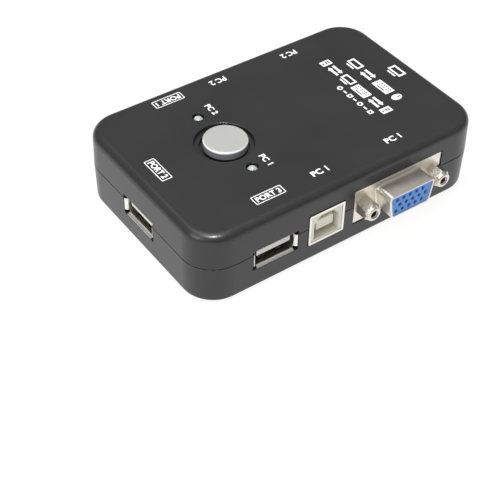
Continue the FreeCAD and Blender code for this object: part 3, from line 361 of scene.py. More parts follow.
def lettering(text, width, height, thickness, weight):
    """Raised letters about the origin, scaled to a width and a height; weight makes them bolder."""
    curve = bpy.data.curves.new("text", "FONT")
    curve.body = text
    curve.resolution_u = 3
    curve.extrude = 0.5
    curve.offset = weight
    points, faces = curve_mesh(curve)
    low, high = points.min(0), points.max(0)
    scale = np.array([width, height, thickness]) / (high - low)
    return (points - (low + high) / 2) * scale, faces


# --- pieces ---------------------------------------------------------------------------------------
def piece(name, part, material, body="case", replaced=(), smooth=35.0):
    """A finished piece: doubles merged, faces outwards, smooth up to an angle, riding on its body."""
    points, faces = part
    mesh = bpy.data.meshes.new(name)
    mesh.from_pydata(points.tolist(), [], faces)
    work = bmesh.new()
    work.from_mesh(mesh)
    bmesh.ops.remove_doubles(work, verts=work.verts, dist=0.0005 * MM)
    bmesh.ops.dissolve_degenerate(work, edges=work.edges, dist=0.0002 * MM)
    bmesh.ops.recalc_face_normals(work, faces=work.faces)
    work.to_mesh(mesh)
    work.free()
    mesh.shade_smooth()
    mesh.set_sharp_from_angle(angle=math.radians(smooth))
    mesh.materials.append(material)
    shown = shown_as(name, mesh)
    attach(shown, body)
    if replaced:
        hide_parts(*replaced)
    return shown


def repaint(nodes, material):
    """Gives frame nodes a finish, in their own material slots."""
    for name in nodes:
        for own in frame["nodes"][name].material_slots:
            own.material = material


# --- shared shader groups -------------------------------------------------------------------------
def wire(tree, source, target):
    """Links a socket to an input, or sets the input to a plain value."""
    if isinstance(source, bpy.types.NodeSocket):
        tree.links.new(source, target)
    else:
        target.default_value = source


def own_place(tree):
    """Where a point lies on the object's own axes, which are the frame's."""
    return tree.nodes.new("ShaderNodeTexCoord").outputs["Object"]


def noise(tree, place, scale, detail=2.0):
    """Soft random spots in space."""
    node = tree.nodes.new("ShaderNodeTexNoise")
    for socket, value in (("Vector", place), ("Scale", scale), ("Detail", detail)):
        wire(tree, value, node.inputs[socket])
    return node.outputs["Fac"]


def split(tree, vector, axis):
    """One coordinate of a vector."""
    node = tree.nodes.new("ShaderNodeSeparateXYZ")
    wire(tree, vector, node.inputs["Vector"])
    return node.outputs[axis]


def reckoned(tree, operation, *values):
    """What a Math node makes of its values, each a socket or a number."""
    node = tree.nodes.new("ShaderNodeMath")
    node.operation = operation
    for socket, value in enumerate(values):
        wire(tree, value, node.inputs[socket])
    return node.outputs["Value"]


def new_group(name, inputs, outputs):
    """An empty node group with named sockets, each given as (name, kind, default)."""
    tree = bpy.data.node_groups.new(name, "ShaderNodeTree")
    for socket, kind, default in inputs:
        made = tree.interface.new_socket(name=socket, in_out="INPUT", socket_type=kind)
        made.default_value = default
    for socket, kind in outputs:
        tree.interface.new_socket(name=socket, in_out="OUTPUT", socket_type=kind)
    return tree, tree.nodes.new("NodeGroupInput"), tree.nodes.new("NodeGroupOutput")


def grain_group():
    """Fine surface grain and slow blotches, from two sizes of noise on the piece's own coordinates."""
    tree, given, result = new_group(
        "Surface grain",
        (("Fine scale", "NodeSocketFloat", 4000.0), ("Blotch scale", "NodeSocketFloat", 60.0)),
        (("Height", "NodeSocketFloat"), ("Blotches", "NodeSocketFloat")))
    for socket, scale, detail in (("Height", "Fine scale", 2.0), ("Blotches", "Blotch scale", 4.0)):
        spots = noise(tree, own_place(tree), given.outputs[scale], detail)
        wire(tree, spots, result.inputs[socket])
    return tree


def edge_group():
    """Softened normals near edges, and a mask of those edges, broken up by noise."""
    tree, given, result = new_group(
        "Soft edges",
        (("Radius", "NodeSocketFloat", 0.1 * MM), ("Wear radius", "NodeSocketFloat", 0.3 * MM)),
        (("Normal", "NodeSocketVector"), ("Wear", "NodeSocketFloat")))
    normals = []
    for source in ("Radius", "Wear radius"):
        bevel = tree.nodes.new("ShaderNodeBevel")
        bevel.samples = 4
        wire(tree, given.outputs[source], bevel.inputs["Radius"])
        normals.append(bevel.outputs["Normal"])
    soft, wide = normals
    shape = tree.nodes.new("ShaderNodeNewGeometry")
    dot = tree.nodes.new("ShaderNodeVectorMath")
    dot.operation = "DOT_PRODUCT"
    wire(tree, wide, dot.inputs[0])
    wire(tree, shape.outputs["Normal"], dot.inputs[1])
    near_edge = ranged(tree, dot.outputs["Value"], 0.0, 1.0, 0.99, 0.80)
    broken = reckoned(tree, "MULTIPLY", near_edge, noise(tree, own_place(tree), 900.0))
    wire(tree, soft, result.inputs["Normal"])
    wire(tree, broken, result.inputs["Wear"])
    return tree


def scratch_group():
    """Hair scratches and brushing: noise stretched along one axis."""
    tree, given, result = new_group(
        "Brushing",
        (("Across", "NodeSocketVector", (300.0, 4000.0, 4000.0)),),
        (("Lines", "NodeSocketFloat"),))
    stretch = tree.nodes.new("ShaderNodeVectorMath")
    stretch.operation = "MULTIPLY"
    wire(tree, own_place(tree), stretch.inputs[0])
    wire(tree, given.outputs["Across"], stretch.inputs[1])
    wire(tree, noise(tree, stretch.outputs["Vector"], 1.0, 3.0), result.inputs["Lines"])
    return tree


def shared(name, maker):
    """A node group that is built once."""
    return bpy.data.node_groups.get(name) or maker()


def use_group(tree, group, values):
    node = tree.nodes.new("ShaderNodeGroup")
    node.node_tree = group
    for socket, value in values.items():
        wire(tree, value, node.inputs[socket])
    return node


def mixed(tree, mask, first, second):
    """A colour between two, by a mask that changes over the surface; a colour may be a socket."""
    node = tree.nodes.new("ShaderNodeMix")
    node.data_type = "RGBA"
    wire(tree, mask, node.inputs["Factor"])
    for socket, value in ((6, first), (7, second)):
        plain = not isinstance(value, bpy.types.NodeSocket)
        wire(tree, (*value, 1.0) if plain else value, node.inputs[socket])
    return node.outputs[2]


def cover(tree, mask, colour):
    """Puts a colour over a finish's own, as far as a mask goes."""
    base = tree.nodes["Principled BSDF"].inputs["Base Color"]
    wire(tree, mixed(tree, mask, base.links[0].from_socket, colour), base)


def ranged(tree, value, low, high, start=0.3, end=0.7):
    """A value mapped from one span to another."""
    node = tree.nodes.new("ShaderNodeMapRange")
    for socket, number in (("Value", value), ("From Min", start), ("From Max", end), ("To Min", low),
                           ("To Max", high)):
        wire(tree, number, node.inputs[socket])
    return node.outputs["Result"]


# --- finishes -------------------------------------------------------------------------------------
def finish(name, colour, rough, metallic=0.0, spread=0.08, fine=4000.0, blotch=60.0, bump=0.004 * MM,
           edge=0.06 * MM, worn=None, wear=0.35, brushing=None, constants=None):
    """A surface with grain, blotches, softened edges, edge wear and, where asked, brushing.
    Colour and roughness swing about their middle by the spread; constants are set on the shader."""
    made = bpy.data.materials.get(name)
    if made:
        return made
    made = bpy.data.materials.new(name)
    made.use_nodes = True
    tree = made.node_tree
    shader = tree.nodes["Principled BSDF"]
    grain = use_group(tree, shared("Surface grain", grain_group),
                      {"Fine scale": fine, "Blotch scale": blotch})
    edges = use_group(tree, shared("Soft edges", edge_group), {"Radius": edge, "Wear radius": 3 * edge})
    dark = [channel * (1 - spread) for channel in colour]
    light = [min(channel * (1 + spread), 1.0) for channel in colour]
    mask = ranged(tree, grain.outputs["Blotches"], 0.0, 1.0)
    tint = mixed(tree, mask, dark, light)
    roughness = ranged(tree, grain.outputs["Blotches"], rough * (1 - spread), rough * (1 + spread))
    height = grain.outputs["Height"]
    if brushing:
        lines = use_group(tree, shared("Brushing", scratch_group), {"Across": brushing}).outputs["Lines"]
        tint = mixed(tree, ranged(tree, lines, 0.0, 0.22), tint, [channel * 0.6 for channel in colour])
        roughness = ranged(tree, lines, rough * (1 - 2 * spread), rough * (1 + 2 * spread))
        height = lines
    if worn:
        amount = ranged(tree, edges.outputs["Wear"], 0.0, wear, 0.0, 0.6)
        tint = mixed(tree, amount, tint, worn)
    relief = tree.nodes.new("ShaderNodeBump")
    for socket, value in (("Strength", 1.0), ("Distance", bump), ("Height", height),
                          ("Normal", edges.outputs["Normal"])):
        wire(tree, value, relief.inputs[socket])
    for socket, value in (("Base Color", tint), ("Roughness", roughness), ("Metallic", metallic),
                          ("Normal", relief.outputs["Normal"]), *(constants or {}).items()):
        wire(tree, value, shader.inputs[socket])
    return made


def case_plastic():
    look = bpy.context.scene.switch_case
    return finish("charcoal_moulding", look.colour, 0.31, spread=0.10, fine=1 / look.grain, blotch=45.0,
                  bump=0.006 * MM, edge=look.edge, worn=(0.09, 0.09, 0.092), wear=0.25)


def foot_rubber():
    return finish("foot_rubber", (0.022, 0.022, 0.022), 0.75, spread=0.15, fine=2500.0, bump=0.02 * MM,
                  worn=(0.06, 0.06, 0.06))


def black_steel():
    return finish("screw_black_steel", (0.055, 0.055, 0.06), 0.36, metallic=0.9, worn=(0.35, 0.34, 0.33),
                  wear=0.6)


def silver_paint():
    """Silver paint on the face, with a lighter rim that is a painted highlight, which stops at the side's
    darker bluish grey, painted shade.
    Lower down, the side and the flange under the cover are painted black as shade."""
    look = bpy.context.scene.switch_button
    made = finish("satin_silver_paint", look.colour, 0.36, spread=0.03, fine=5200.0, bump=0.003 * MM,
                  constants={"Coat Weight": 0.5, "Coat Roughness": 0.2})
    tree = made.node_tree
    height = split(tree, own_place(tree), "Z")
    top = button_high.z
    edge = top - look.rim
    painted_shade_start = top - look.painted_shade_start
    # Below the first height a colour covers all, and above the second it covers nothing.
    # The colours are a painted highlight on the rim, painted shade on the side, and painted black shade
    # below.
    for colour, full, none in (
            (look.rim_highlight_colour, top - 0.16 * MM, top - look.hollow - 0.02 * MM),
            (look.side, edge - 0.12 * MM, edge + 0.03 * MM),
            (SHADE_BLACK, painted_shade_start - 0.1 * MM, painted_shade_start + 0.1 * MM)):
        cover(tree, ranged(tree, height, 1.0, 0.0, full, none), colour)
    return made


def switch_plastic():
    return finish("switch_plastic", (0.03, 0.03, 0.03), 0.5, fine=3000.0)


def spring_steel():
    return finish("spring_steel", (0.60, 0.58, 0.55), 0.28, metallic=1.0, brushing=(400.0, 9000.0, 9000.0))


def lead_tin():
    return finish("tinned_lead", (0.72, 0.72, 0.70), 0.38, metallic=1.0, spread=0.12, fine=6000.0)


def contact_metal():
    return finish("gold_contact", (0.83, 0.62, 0.28), 0.27, metallic=1.0, brushing=(6000.0, 600.0, 6000.0))


def socket_plating():
    look = bpy.context.scene.switch_sockets
    return finish("warm_nickel_plate", look.plating, 0.30, metallic=0.9, spread=0.07, fine=3500.0,
                  blotch=160.0, bump=0.0022 * MM, worn=(0.86, 0.82, 0.74), wear=0.6)


def bright_plating():
    return finish("bright_tin_plate", (0.87, 0.85, 0.80), 0.30, metallic=1.0, spread=0.06, fine=3500.0,
                  blotch=200.0, bump=0.002 * MM, worn=(0.92, 0.90, 0.86), wear=0.6)


def jack_nickel():
    """Brushed nickel, with painted shade that darkens it where it is closed in, as it is inside the bore.
    """
    look = bpy.context.scene.switch_sockets
    made = finish("jack_screw_nickel", [c * 0.98 for c in look.plating], 0.32, metallic=1.0, spread=0.08,
                  blotch=300.0, bump=0.002 * MM, worn=(0.9, 0.86, 0.78), wear=0.7,
                  brushing=(9000.0, 9000.0, 700.0))
    tree = made.node_tree
    if tree.nodes.get("openness"):
        return made
    openness = tree.nodes.new("ShaderNodeAmbientOcclusion")
    openness.name = "openness"
    openness.only_local = True
    wire(tree, 4.0 * MM, openness.inputs["Distance"])
    # Painted shade: where ambient occlusion finds the bore closed in, the nickel turns nearly black.
    cover(tree, ranged(tree, openness.outputs["AO"], 1.0, 0.0, 0.35, 0.65), BORE_SHADE_BLACK)
    return made


def video_blue():
    look = bpy.context.scene.switch_sockets
    return finish("video_blue_moulding", look.moulding, 0.42, spread=0.07, fine=3000.0, blotch=250.0,
                  worn=(0.2, 0.4, 0.85))


def ivory_moulding():
    return finish("ivory_moulding", (0.86, 0.83, 0.72), 0.42, spread=0.04, fine=3000.0, blotch=180.0,
                  worn=(0.9, 0.88, 0.8))


def white_moulding():
    """The white moulding of a socket's tongue, its plain white on its front face, with painted shade
    darkening it further in.
    in a point lies is the smaller of its distances from the planes of the side and end walls."""
    made = finish("white_moulding", (0.80, 0.79, 0.74), 0.38, spread=0.04, fine=3000.0, blotch=180.0,
                  worn=(0.85, 0.84, 0.8))
    tree = made.node_tree
    if tree.nodes.get("depth"):
        return made
    ways = []
    for axis, low, high in (("X", case_low.x, case_high.x), ("Y", case_low.y, case_high.y)):
        from_middle = reckoned(tree, "SUBTRACT", split(tree, own_place(tree), axis), (low + high) / 2)
        out = reckoned(tree, "ABSOLUTE", from_middle)
        ways.append(reckoned(tree, "SUBTRACT", (high - low) / 2, out))
    depth = reckoned(tree, "MINIMUM", *ways)
    depth.node.name = "depth"
    # Painted shade: further in than about 1.5 mm the moulding turns nearly black.
    cover(tree, ranged(tree, depth, 0.0, 1.0, 1.45 * MM, 1.7 * MM), (0.05, 0.048, 0.045))
    return made


def chip_black():
    return finish("chip_epoxy", (0.02, 0.02, 0.021), 0.55, spread=0.2, fine=5000.0, bump=0.006 * MM)


def can_aluminium():
    return finish("can_aluminium", (0.78, 0.78, 0.77), 0.33, metallic=1.0, brushing=(5000.0, 5000.0, 300.0))


def capacitor_tan():
    return finish("capacitor_ceramic", (0.42, 0.29, 0.17), 0.5, spread=0.15)


def resistor_black():
    return finish("resistor_body", (0.03, 0.03, 0.035), 0.4, spread=0.2)


def board_laminate():
    """Green laminate: copper tracks under the mask are lighter right-angled lines between cells."""
    made = finish("green_laminate", (0.012, 0.095, 0.035), 0.35, spread=0.15, fine=2500.0)
    tree = made.node_tree
    if tree.nodes.get("tracks"):
        return made
    cells = tree.nodes.new("ShaderNodeTexVoronoi")
    cells.name = "tracks"
    cells.distance = "MANHATTAN"
    cells.feature = "F1"
    wire(tree, 420.0, cells.inputs["Scale"])
    wire(tree, own_place(tree), cells.inputs["Vector"])
    wave = reckoned(tree, "PINGPONG", cells.outputs["Distance"], 0.12)
    cover(tree, ranged(tree, wave, 0.0, 0.8, 0.05, 0.07), (0.03, 0.19, 0.07))
    return made


def lamp_clear():
    """Water-white epoxy, a little milky, with a faint haze that changes over the lens."""
    return finish("clear_lens", (0.80, 0.83, 0.82), 0.16, spread=0.03, fine=1500.0, bump=0.001 * MM,
                  edge=0.02 * MM, constants={"Transmission Weight": 0.45, "IOR": 1.5})


def print_white():
    look = bpy.context.scene.switch_print
    return finish("white_ink", look.colour, 0.55, spread=0.04, fine=5000.0, blotch=700.0, edge=0.01 * MM)


def nodes_of(part, *sockets):
    """The names of the nodes of one part in several sockets."""
    return tuple(socket + "_" + part for socket in sockets)


FINISHED_NODES = {
    case_plastic: ("top_cover", "bottom_cover"),
    black_steel: ("case_screws",),
    spring_steel: ("board_screws", "switch_cover", "switch_dome"),
    board_laminate: ("circuit_board",),
    switch_plastic: ("switch_base", "switch_plunger", "lamp_spacers"),
    lead_tin: ("switch_terminals", "lamp_leads", "chip_leads"),
    bright_plating: nodes_of("shell", *USB_A, *USB_B),
    white_moulding: nodes_of("housing", *USB_A),
    contact_metal: nodes_of("contacts", *USB_A, *USB_B, *VIDEO),
    ivory_moulding: nodes_of("insert", *USB_B),
    socket_plating: nodes_of("bracket", *VIDEO),
    video_blue: nodes_of("insert", *VIDEO),
    chip_black: ("controller_chip", "video_switch_chips", "memory_chip"),
    can_aluminium: ("crystal", "capacitor_cans"),
    capacitor_tan: ("chip_capacitors",),
    resistor_black: ("chip_resistors",),
}


# --- shapes of the new pieces ---------------------------------------------------------------------
def button_shape(look, segments):
    """The cap as a turned shell: a sunk face, a rounded rim, a side wall, the flange that stops under
    the cover, the hollow inside, and the stem that reaches the switch."""
    top = button_high.z
    ceiling = COVER_UNDERSIDE
    flange_low = ceiling - look.flange
    flange_radius = (button_high.x - button_low.x) / 2
    chamfer = 0.1 * MM
    stem = 2.2 * MM
    rim = arc((look.radius - look.rim, top - look.rim), look.rim, 90, 0, 12)
    face = np.linspace(0, look.radius - look.rim, 14)
    sink = look.hollow * (1 - (face / face[-1]) ** 4)
    inner = look.radius - look.wall
    profile = np.vstack([
        np.column_stack([face, top - sink])[:-1],
        rim,
        [(look.radius, ceiling), (flange_radius - chamfer, ceiling), (flange_radius, ceiling - chamfer)],
        [(flange_radius, flange_low), (inner, flange_low), (inner, top - look.wall)],
        [(stem, top - look.wall), (stem, button_low.z), (0, button_low.z)],
    ])
    return moved(lathe(profile, segments), BUTTON_X, BUTTON_Y)


def lens_shape(node, look, segments):
    """A lamp's clear body: a flange with a rounded rim, a barrel and a half-round nose."""
    low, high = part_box(node)
    middle = (low + high) / 2
    r = look.radius
    nose = arc((0, high.z - r), r, 0, 90, 16)
    wide = r + look.flange
    flange_top = low.z + 1.0 * MM
    chamfer = 0.1 * MM
    profile = np.vstack([
        [(0, low.z), (wide, low.z), (wide, flange_top - chamfer), (wide - chamfer, flange_top)],
        [(r, flange_top)],
        nose,
    ])
    profile[-1, 0] = 0.0
    return moved(lathe(profile, segments // 2), middle.x, middle.y)


def lamp_core_shape(node, look, segments):
    """What shows inside a lamp: the mirror cup on its post, the second post and the chip."""
    low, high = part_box(node)
    middle = (low + high) / 2
    cup_top = high.z - 1.55 * MM
    cup_floor = cup_top - 0.42 * MM
    cup_low = cup_top - 0.75 * MM
    cup_x = -0.25 * MM
    r = look.cup
    cup = lathe([
        (0, cup_floor), (0.3 * r, cup_floor), (0.86 * r, cup_top), (r, cup_top), (r, cup_low), (0, cup_low),
    ], segments // 3)
    size = 0.22 * MM
    base = low.z + 0.2 * MM
    posts = []
    for x, top in ((cup_x, cup_top - 0.7 * MM), (0.95 * MM, cup_top + 0.1 * MM)):
        profile = [(0, base), (size, base), (size, top - 0.05 * MM), (size * 0.7, top), (0, top)]
        posts.append(moved(lathe(profile, 12), x))
    chip_size = 0.16 * MM
    chip_low = cup_top - 0.40 * MM
    chip_top = cup_top - 0.25 * MM
    chip = lathe([(0, chip_low), (chip_size, chip_low), (chip_size, chip_top), (0, chip_top)], 4)
    return moved(together([moved(cup, cup_x), moved(chip, cup_x)] + posts), middle.x, middle.y)


def foot_shape(node, segments):
    """A glued rubber foot: a flat disc with a rounded lower rim and two shallow rings in its face."""
    low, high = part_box(node)
    middle = (low + high) / 2
    r = (high.x - low.x) / 2
    ring = 0.12 * MM
    profile = np.vstack([
        [(0, low.z), (r * 0.40, low.z), (r * 0.44, low.z + ring), (r * 0.48, low.z)],
        [(r * 0.64, low.z), (r * 0.68, low.z + ring), (r * 0.72, low.z)],
        arc((r - 0.4 * MM, low.z + 0.4 * MM), 0.4 * MM, -90, 0, 7),
        [(r, high.z), (0, high.z)],
    ])
    return moved(lathe(profile, segments), middle.x, middle.y)


def jack_shape(look, segments, z):
    """A jack screw on the front wall. Around the axis the body's radius is the hexagon's, cut down by a
    chamfer cone near the nose. The nose is a rounded ring. The bore's radius swings with a triangle wave
    of the depth less the pitch times the turn, which is a thread, and a cone closes it."""
    angle = np.linspace(0, 2 * math.pi, segments, endpoint=False)
    sector = np.mod(angle + math.pi / 6, math.pi / 3) - math.pi / 6
    flats = look.jack_flats / 2 / np.cos(sector)
    front = -look.jack_proud
    nose_start = front + 0.9 * MM
    nose = look.jack_flats / 2 - 0.2 * MM
    nose_round = 0.42 * MM
    shank = 1.38 * MM
    shank_end = 5.0 * MM
    seat = 0.3 * MM
    mouth = 1.3 * MM
    axis = 1e-6
    rows = [(axis, shank_end), (shank, shank_end), (shank, seat), (flats, seat)]
    for depth in np.linspace(nose_start + 2.4 * MM, nose_start, 12):
        cone = look.jack_flats / 2 + (depth - nose_start) * 1.4
        rows.append((np.minimum(flats, cone), depth))
    rows += list(arc((nose - nose_round, front + nose_round), nose_round, 0, -90, 8))
    rows.append((mouth + 0.12 * MM, front))
    for depth in np.arange(0.1 * MM, 4.0 * MM, look.thread / 6):
        turns = depth / look.thread - angle / (2 * math.pi)
        wave = np.abs(np.mod(turns, 1.0) * 2 - 1)
        fade = min(depth / (0.4 * MM), 1.0)
        rows.append((mouth - 0.26 * MM * wave * fade, front + depth))
    rows += [(1.05 * MM, front + 4.1 * MM), (axis, front + 4.6 * MM)]
    grid = np.array([np.column_stack([r * np.cos(angle), np.full(segments, y), z + r * np.sin(angle)])
                     for r, y in rows])
    return skin(grid)


def d_outline(look, grow, steps=11):
    """The D of a video socket: four round corners, the top side wider by ten degrees of slope."""
    h = look.shell_height / 2
    w = look.shell_width / 2
    foot = w - 2 * h * math.tan(math.radians(10))
    return rounded([(foot, -h), (w, h), (-w, h), (-foot, -h)], look.shell_corner, grow, steps)


def shell_shape(look, z):
    """A video socket's plated front on the front wall: the flange plate with its holes, and the drawn D
    tube, whose closed profile runs from the flange over the root fillet to the rolled rim and back."""
    face = 0.3 * MM
    thick = 0.8 * MM
    wall = look.shell_wall
    tip = -look.shell_proud
    root = look.shell_root
    outer, inner = 0.3 * MM, 0.12 * MM
    holes = [circle(1.5 * MM, side * look.jack_spacing / 2) for side in (-1, 1)]
    flange_edge = rectangle(look.flange_width, look.flange_height, 0.45 * MM)
    sheet = plate([flange_edge, d_outline(look, -wall)] + holes, thick, inner)
    flange = upright(sheet, face + thick / 2)
    foot, sunk = root + 0.05 * MM, face + 0.2 * MM
    profile = np.vstack([
        [(-wall, sunk), (foot, sunk), (foot, face)],
        arc((root, face - root), root, 90, 180, 9),
        arc((-outer, tip + outer), outer, 0, -90, 7),
        arc((-wall + inner, tip + inner), inner, -90, -180, 4),
        [(-wall, face)],
    ])
    tube = carried(lambda grow: d_outline(look, grow), profile, close=True)
    return moved(together([flange, tube]), z=z)


# --- marks on the top -----------------------------------------------------------------------------
def bar(x0, y0, x1, y1):
    """A rectangle between two corners."""
    return np.array([(x0, y0), (x1, y0), (x1, y1), (x0, y1)], float)


def arrow(x0, x1, y, thick):
    """A straight arrow from x0 to x1."""
    way = 1 if x1 > x0 else -1
    neck = x1 - way * thick * 1.6
    return np.array([
        (x0, y - thick / 2), (neck, y - thick / 2), (neck, y - thick * 1.1), (x1, y),
        (neck, y + thick * 1.1), (neck, y + thick / 2), (x0, y + thick / 2)])


# Each sign: its width and closed outlines, in heights of its row. An outline in another is a hole.
SIGNS = {
    "monitor": (1.36, [bar(0, 0.27, 1.36, 1.0), bar(0.17, 0.43, 1.19, 0.84), bar(0.24, 0.0, 1.12, 0.15)]),
    "keyboard": (1.75, [bar(0, 0, 1.75, 0.90), bar(0.45, 0.14, 1.30, 0.25)]
                 + [bar(0.15 + 0.26 * i, 0.38 + 0.24 * j, 0.30 + 0.26 * i, 0.50 + 0.24 * j)
                    for i in range(6) for j in range(2)]),
    "mouse": (0.68, [circle(0.34, 0.34, 0.0, 24) * (1.0, 1.4) + (0.0, 0.48), bar(0.28, 0.54, 0.40, 0.84)]),
    "tower": (0.66, [bar(0, 0, 0.66, 1.0), bar(0.15, 0.72, 0.51, 0.84), bar(0.15, 0.48, 0.51, 0.60),
                     circle(0.10, 0.33, 0.22, 16)]),
    "exchange": (1.3, [arrow(0.0, 1.3, 0.74, 0.24), arrow(1.3, 0.0, 0.26, 0.24)]),
    "ring": (0.9, [circle(0.45, 0.45, 0.5, 20), circle(0.22, 0.45, 0.5, 16)]),
    "square": (0.8, [bar(0, 0.1, 0.8, 0.9), bar(0.22, 0.32, 0.58, 0.68)]),
    "dash": (0.7, [bar(0, 0.37, 0.7, 0.63)]),
}


def sign_row(signs, span, height, thickness):
    """Signs in a row about the origin, spread evenly over a span. One sign alone takes its own width."""
    drawn = [SIGNS[sign] for sign in signs]
    used = sum(width for width, _ in drawn) * height
    span = max(span, used)
    gap = (span - used) / max(len(drawn) - 1, 1)
    x = -span / 2
    parts = []
    for width, outlines in drawn:
        placed = [outline * height + np.array([x, -height / 2]) for outline in outlines]
        parts.append(plate(placed, thickness))
        x += width * height + gap
    return together(parts)


def boxed(text, look, width=9.5 * MM, height=3.3 * MM):
    """Words in a thin frame with round corners."""
    outer = rectangle(width, height, 0.35 * MM)
    inner = rectangle(width - 2 * look.line, height - 2 * look.line, 0.2 * MM)
    frame_part = plate([outer, inner], look.thickness)
    words = lettering(text, width - 1.7 * MM, height - 1.35 * MM, look.thickness, 0.034)
    return together([frame_part, words])


# Words on the top: text, middle x and y from the case's middle, width, height in mm, turn in degrees.
PORT_WORDS = (
    ("PORT 3", -22.05, -23.3, 0),
    ("PORT 2", -40.3, 1.35, -90),
    ("PORT 1", -21.6, 25.6, 180),
)
SOCKET_WORDS = (
    ("PC 1", 20.0, -23.5, 5.3, 2.2, 0),
    ("PC 1", -5.2, -23.3, 5.3, 2.2, 0),
    ("PC 2", -4.7, 25.4, 5.3, 2.2, 180),
    ("PC 2", 20.4, 24.8, 5.3, 2.2, 180),
    ("PC 1", -14.1, -11.3, 4.7, 1.9, -90),
    ("PC 2", -13.8, 15.2, 4.9, 1.9, -90),
)
# Rows of signs: signs, middle x and y, span, height in mm. They read along -Y.
SIGN_ROWS = (
    (("monitor", "exchange", "keyboard", "mouse"), 33.35, 0.65, 23.1, 3.7),
    (("tower", "exchange", "monitor", "keyboard", "exchange", "tower"), 26.75, 1.1, 29.8, 3.5),
    (("ring", "dash", "square", "dash", "ring", "dash", "square"), 22.5, -4.0, 15.4, 2.0),
    (("monitor",), 41.2, 0.1, 0.0, 3.9),
)


# --- operators ------------------------------------------------------------------------------------
class SWITCHBOX_OT_finish_nodes(bpy.types.Operator):
    """Give every carried-over piece its finish"""

    bl_idname = "switchbox.finish_nodes"
    bl_label = "Finish the frame's pieces"

    def execute(self, context):
        for material, nodes in FINISHED_NODES.items():
            repaint(nodes, material())
        return {"FINISHED"}


class SWITCHBOX_OT_button(bpy.types.Operator):
    """Make the round select button"""

    bl_idname = "switchbox.make_button"
    bl_label = "Make the button"

    def execute(self, context):
        segments = 2 * context.scene.switch_stage.segments
        shape = button_shape(context.scene.switch_button, segments)
        piece("button_cap", shape, silver_paint(), "button", ("select_button",), 40)
        return {"FINISHED"}


class SWITCHBOX_OT_lamps(bpy.types.Operator):
    """Make the two clear lamps and what shows inside them"""

    bl_idname = "switchbox.make_lamps"
    bl_label = "Make the lamps"

    def execute(self, context):
        look = context.scene.switch_lamps
        segments = context.scene.switch_stage.segments
        for node in LAMP_NODES:
            piece(node + "_lens", lens_shape(node, look, segments), lamp_clear(),
                  replaced=(node,))
            piece(node + "_core", lamp_core_shape(node, look, segments), lead_tin())
        return {"FINISHED"}


class SWITCHBOX_OT_feet(bpy.types.Operator):
    """Make the four rubber feet"""

    bl_idname = "switchbox.make_feet"
    bl_label = "Make the feet"

    def execute(self, context):
        segments = context.scene.switch_stage.segments
        for node in FOOT_NODES:
            piece(node + "_pad", foot_shape(node, segments), foot_rubber(), replaced=(node,))
        return {"FINISHED"}


class SWITCHBOX_OT_video_sockets(bpy.types.Operator):
    """Make the video sockets' plated fronts and jack screws"""

    bl_idname = "switchbox.make_video_sockets"
    bl_label = "Make the video sockets"

    def execute(self, context):
        look = context.scene.switch_sockets
        segments = context.scene.switch_stage.segments
        for name, turn in VIDEO_TURNS.items():
            node = "vga_" + name + "_shell"
            low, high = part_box(node)
            z = (low.z + high.z) / 2
            x, y, angle = seat_of(node, turn)
            front = moved(shell_shape(look, z), x, y, 0.0, angle)
            piece("video_" + name + "_front", front, socket_plating(), replaced=(node,))
            screw = jack_shape(look, segments, z)
            pair = together([moved(screw, side * look.jack_spacing / 2) for side in (-1, 1)])
            piece("video_" + name + "_jacks", moved(pair, x, y, 0.0, angle), jack_nickel(),
                  replaced=("vga_" + name + "_jack_screws",), smooth=28)
        return {"FINISHED"}


class SWITCHBOX_OT_marks(bpy.types.Operator):
    """Print the generic white words and signs on the top"""

    bl_idname = "switchbox.print_marks"
    bl_label = "Print the marks"

    def execute(self, context):
        look = context.scene.switch_print
        ink = look.thickness

        def printed(part, x, y, turn):
            return moved(part, CASE_MIDDLE_X + x * MM, y * MM, TOP_Z + ink / 2, math.radians(turn))

        ports = [printed(boxed(text, look), x, y, turn) for text, x, y, turn in PORT_WORDS]
        sockets = [printed(lettering(text, width * MM, height * MM, ink, 0.03), x, y, turn)
                   for text, x, y, width, height, turn in SOCKET_WORDS]
        signs = [printed(sign_row(row, span * MM, height * MM, ink), x, y, -90)
                 for row, x, y, span, height in SIGN_ROWS]
        for name, parts in (("printed_port_words", ports), ("printed_socket_words", sockets),
                            ("printed_signs", signs)):
            piece(name, together(parts), print_white())
        return {"FINISHED"}


class SWITCHBOX_OT_stage(bpy.types.Operator):
    """Set up the floor, the lights and the camera"""

    bl_idname = "switchbox.make_stage"
    bl_label = "Make the stage"

    def execute(self, context):
        look = context.scene.switch_stage
        make_floor(look)
        make_lights(look)
        make_camera(look)
        context.scene.view_settings.view_transform = "Standard"
        return {"FINISHED"}


# --- stage ----------------------------------------------------------------------------------------
def make_floor(look):
    """A large round light table, with a very faint grain."""
    points, faces = lathe([(0, 0), (0.2, 0), (1.0, 0), (6.0, 0)], 96)
    mesh = bpy.data.meshes.new("floor")
    mesh.from_pydata(points.tolist(), [], faces)
    mesh.validate()
    mesh.materials.append(finish(
        "pale_floor", look.floor, 0.9, spread=0.01, fine=300.0, blotch=5.0, edge=0.01 * MM,
        constants={"Specular IOR Level": 0.0, "Emission Color": (*WHITE, 1.0),
                   "Emission Strength": look.glow}))
    shown_as("floor", mesh)


def placed(right, up, back, place):
    """The matrix of a light or camera from its three directions and its place."""
    return Matrix([*np.column_stack([right, up, back, place]).tolist(), [0, 0, 0, 1]])


def make_light(name, place, target, size, power):
    """A rectangular softbox that looks from its place at a target."""
    lamp = bpy.data.lights.new(name, "AREA")
    lamp.shape = "RECTANGLE"
    lamp.size, lamp.size_y = size
    lamp.energy = power
    lamp.color = WHITE
    holder = shown_as(name, lamp)
    away = np.array(place) - np.array(target)
    away = away / np.linalg.norm(away)
    side = np.cross((0.0, 0.0, 1.0), away)
    side = side / max(np.linalg.norm(side), 1e-9)
    over = np.cross(away, side)
    holder.matrix_world = placed(side, over, away, place)
    return holder


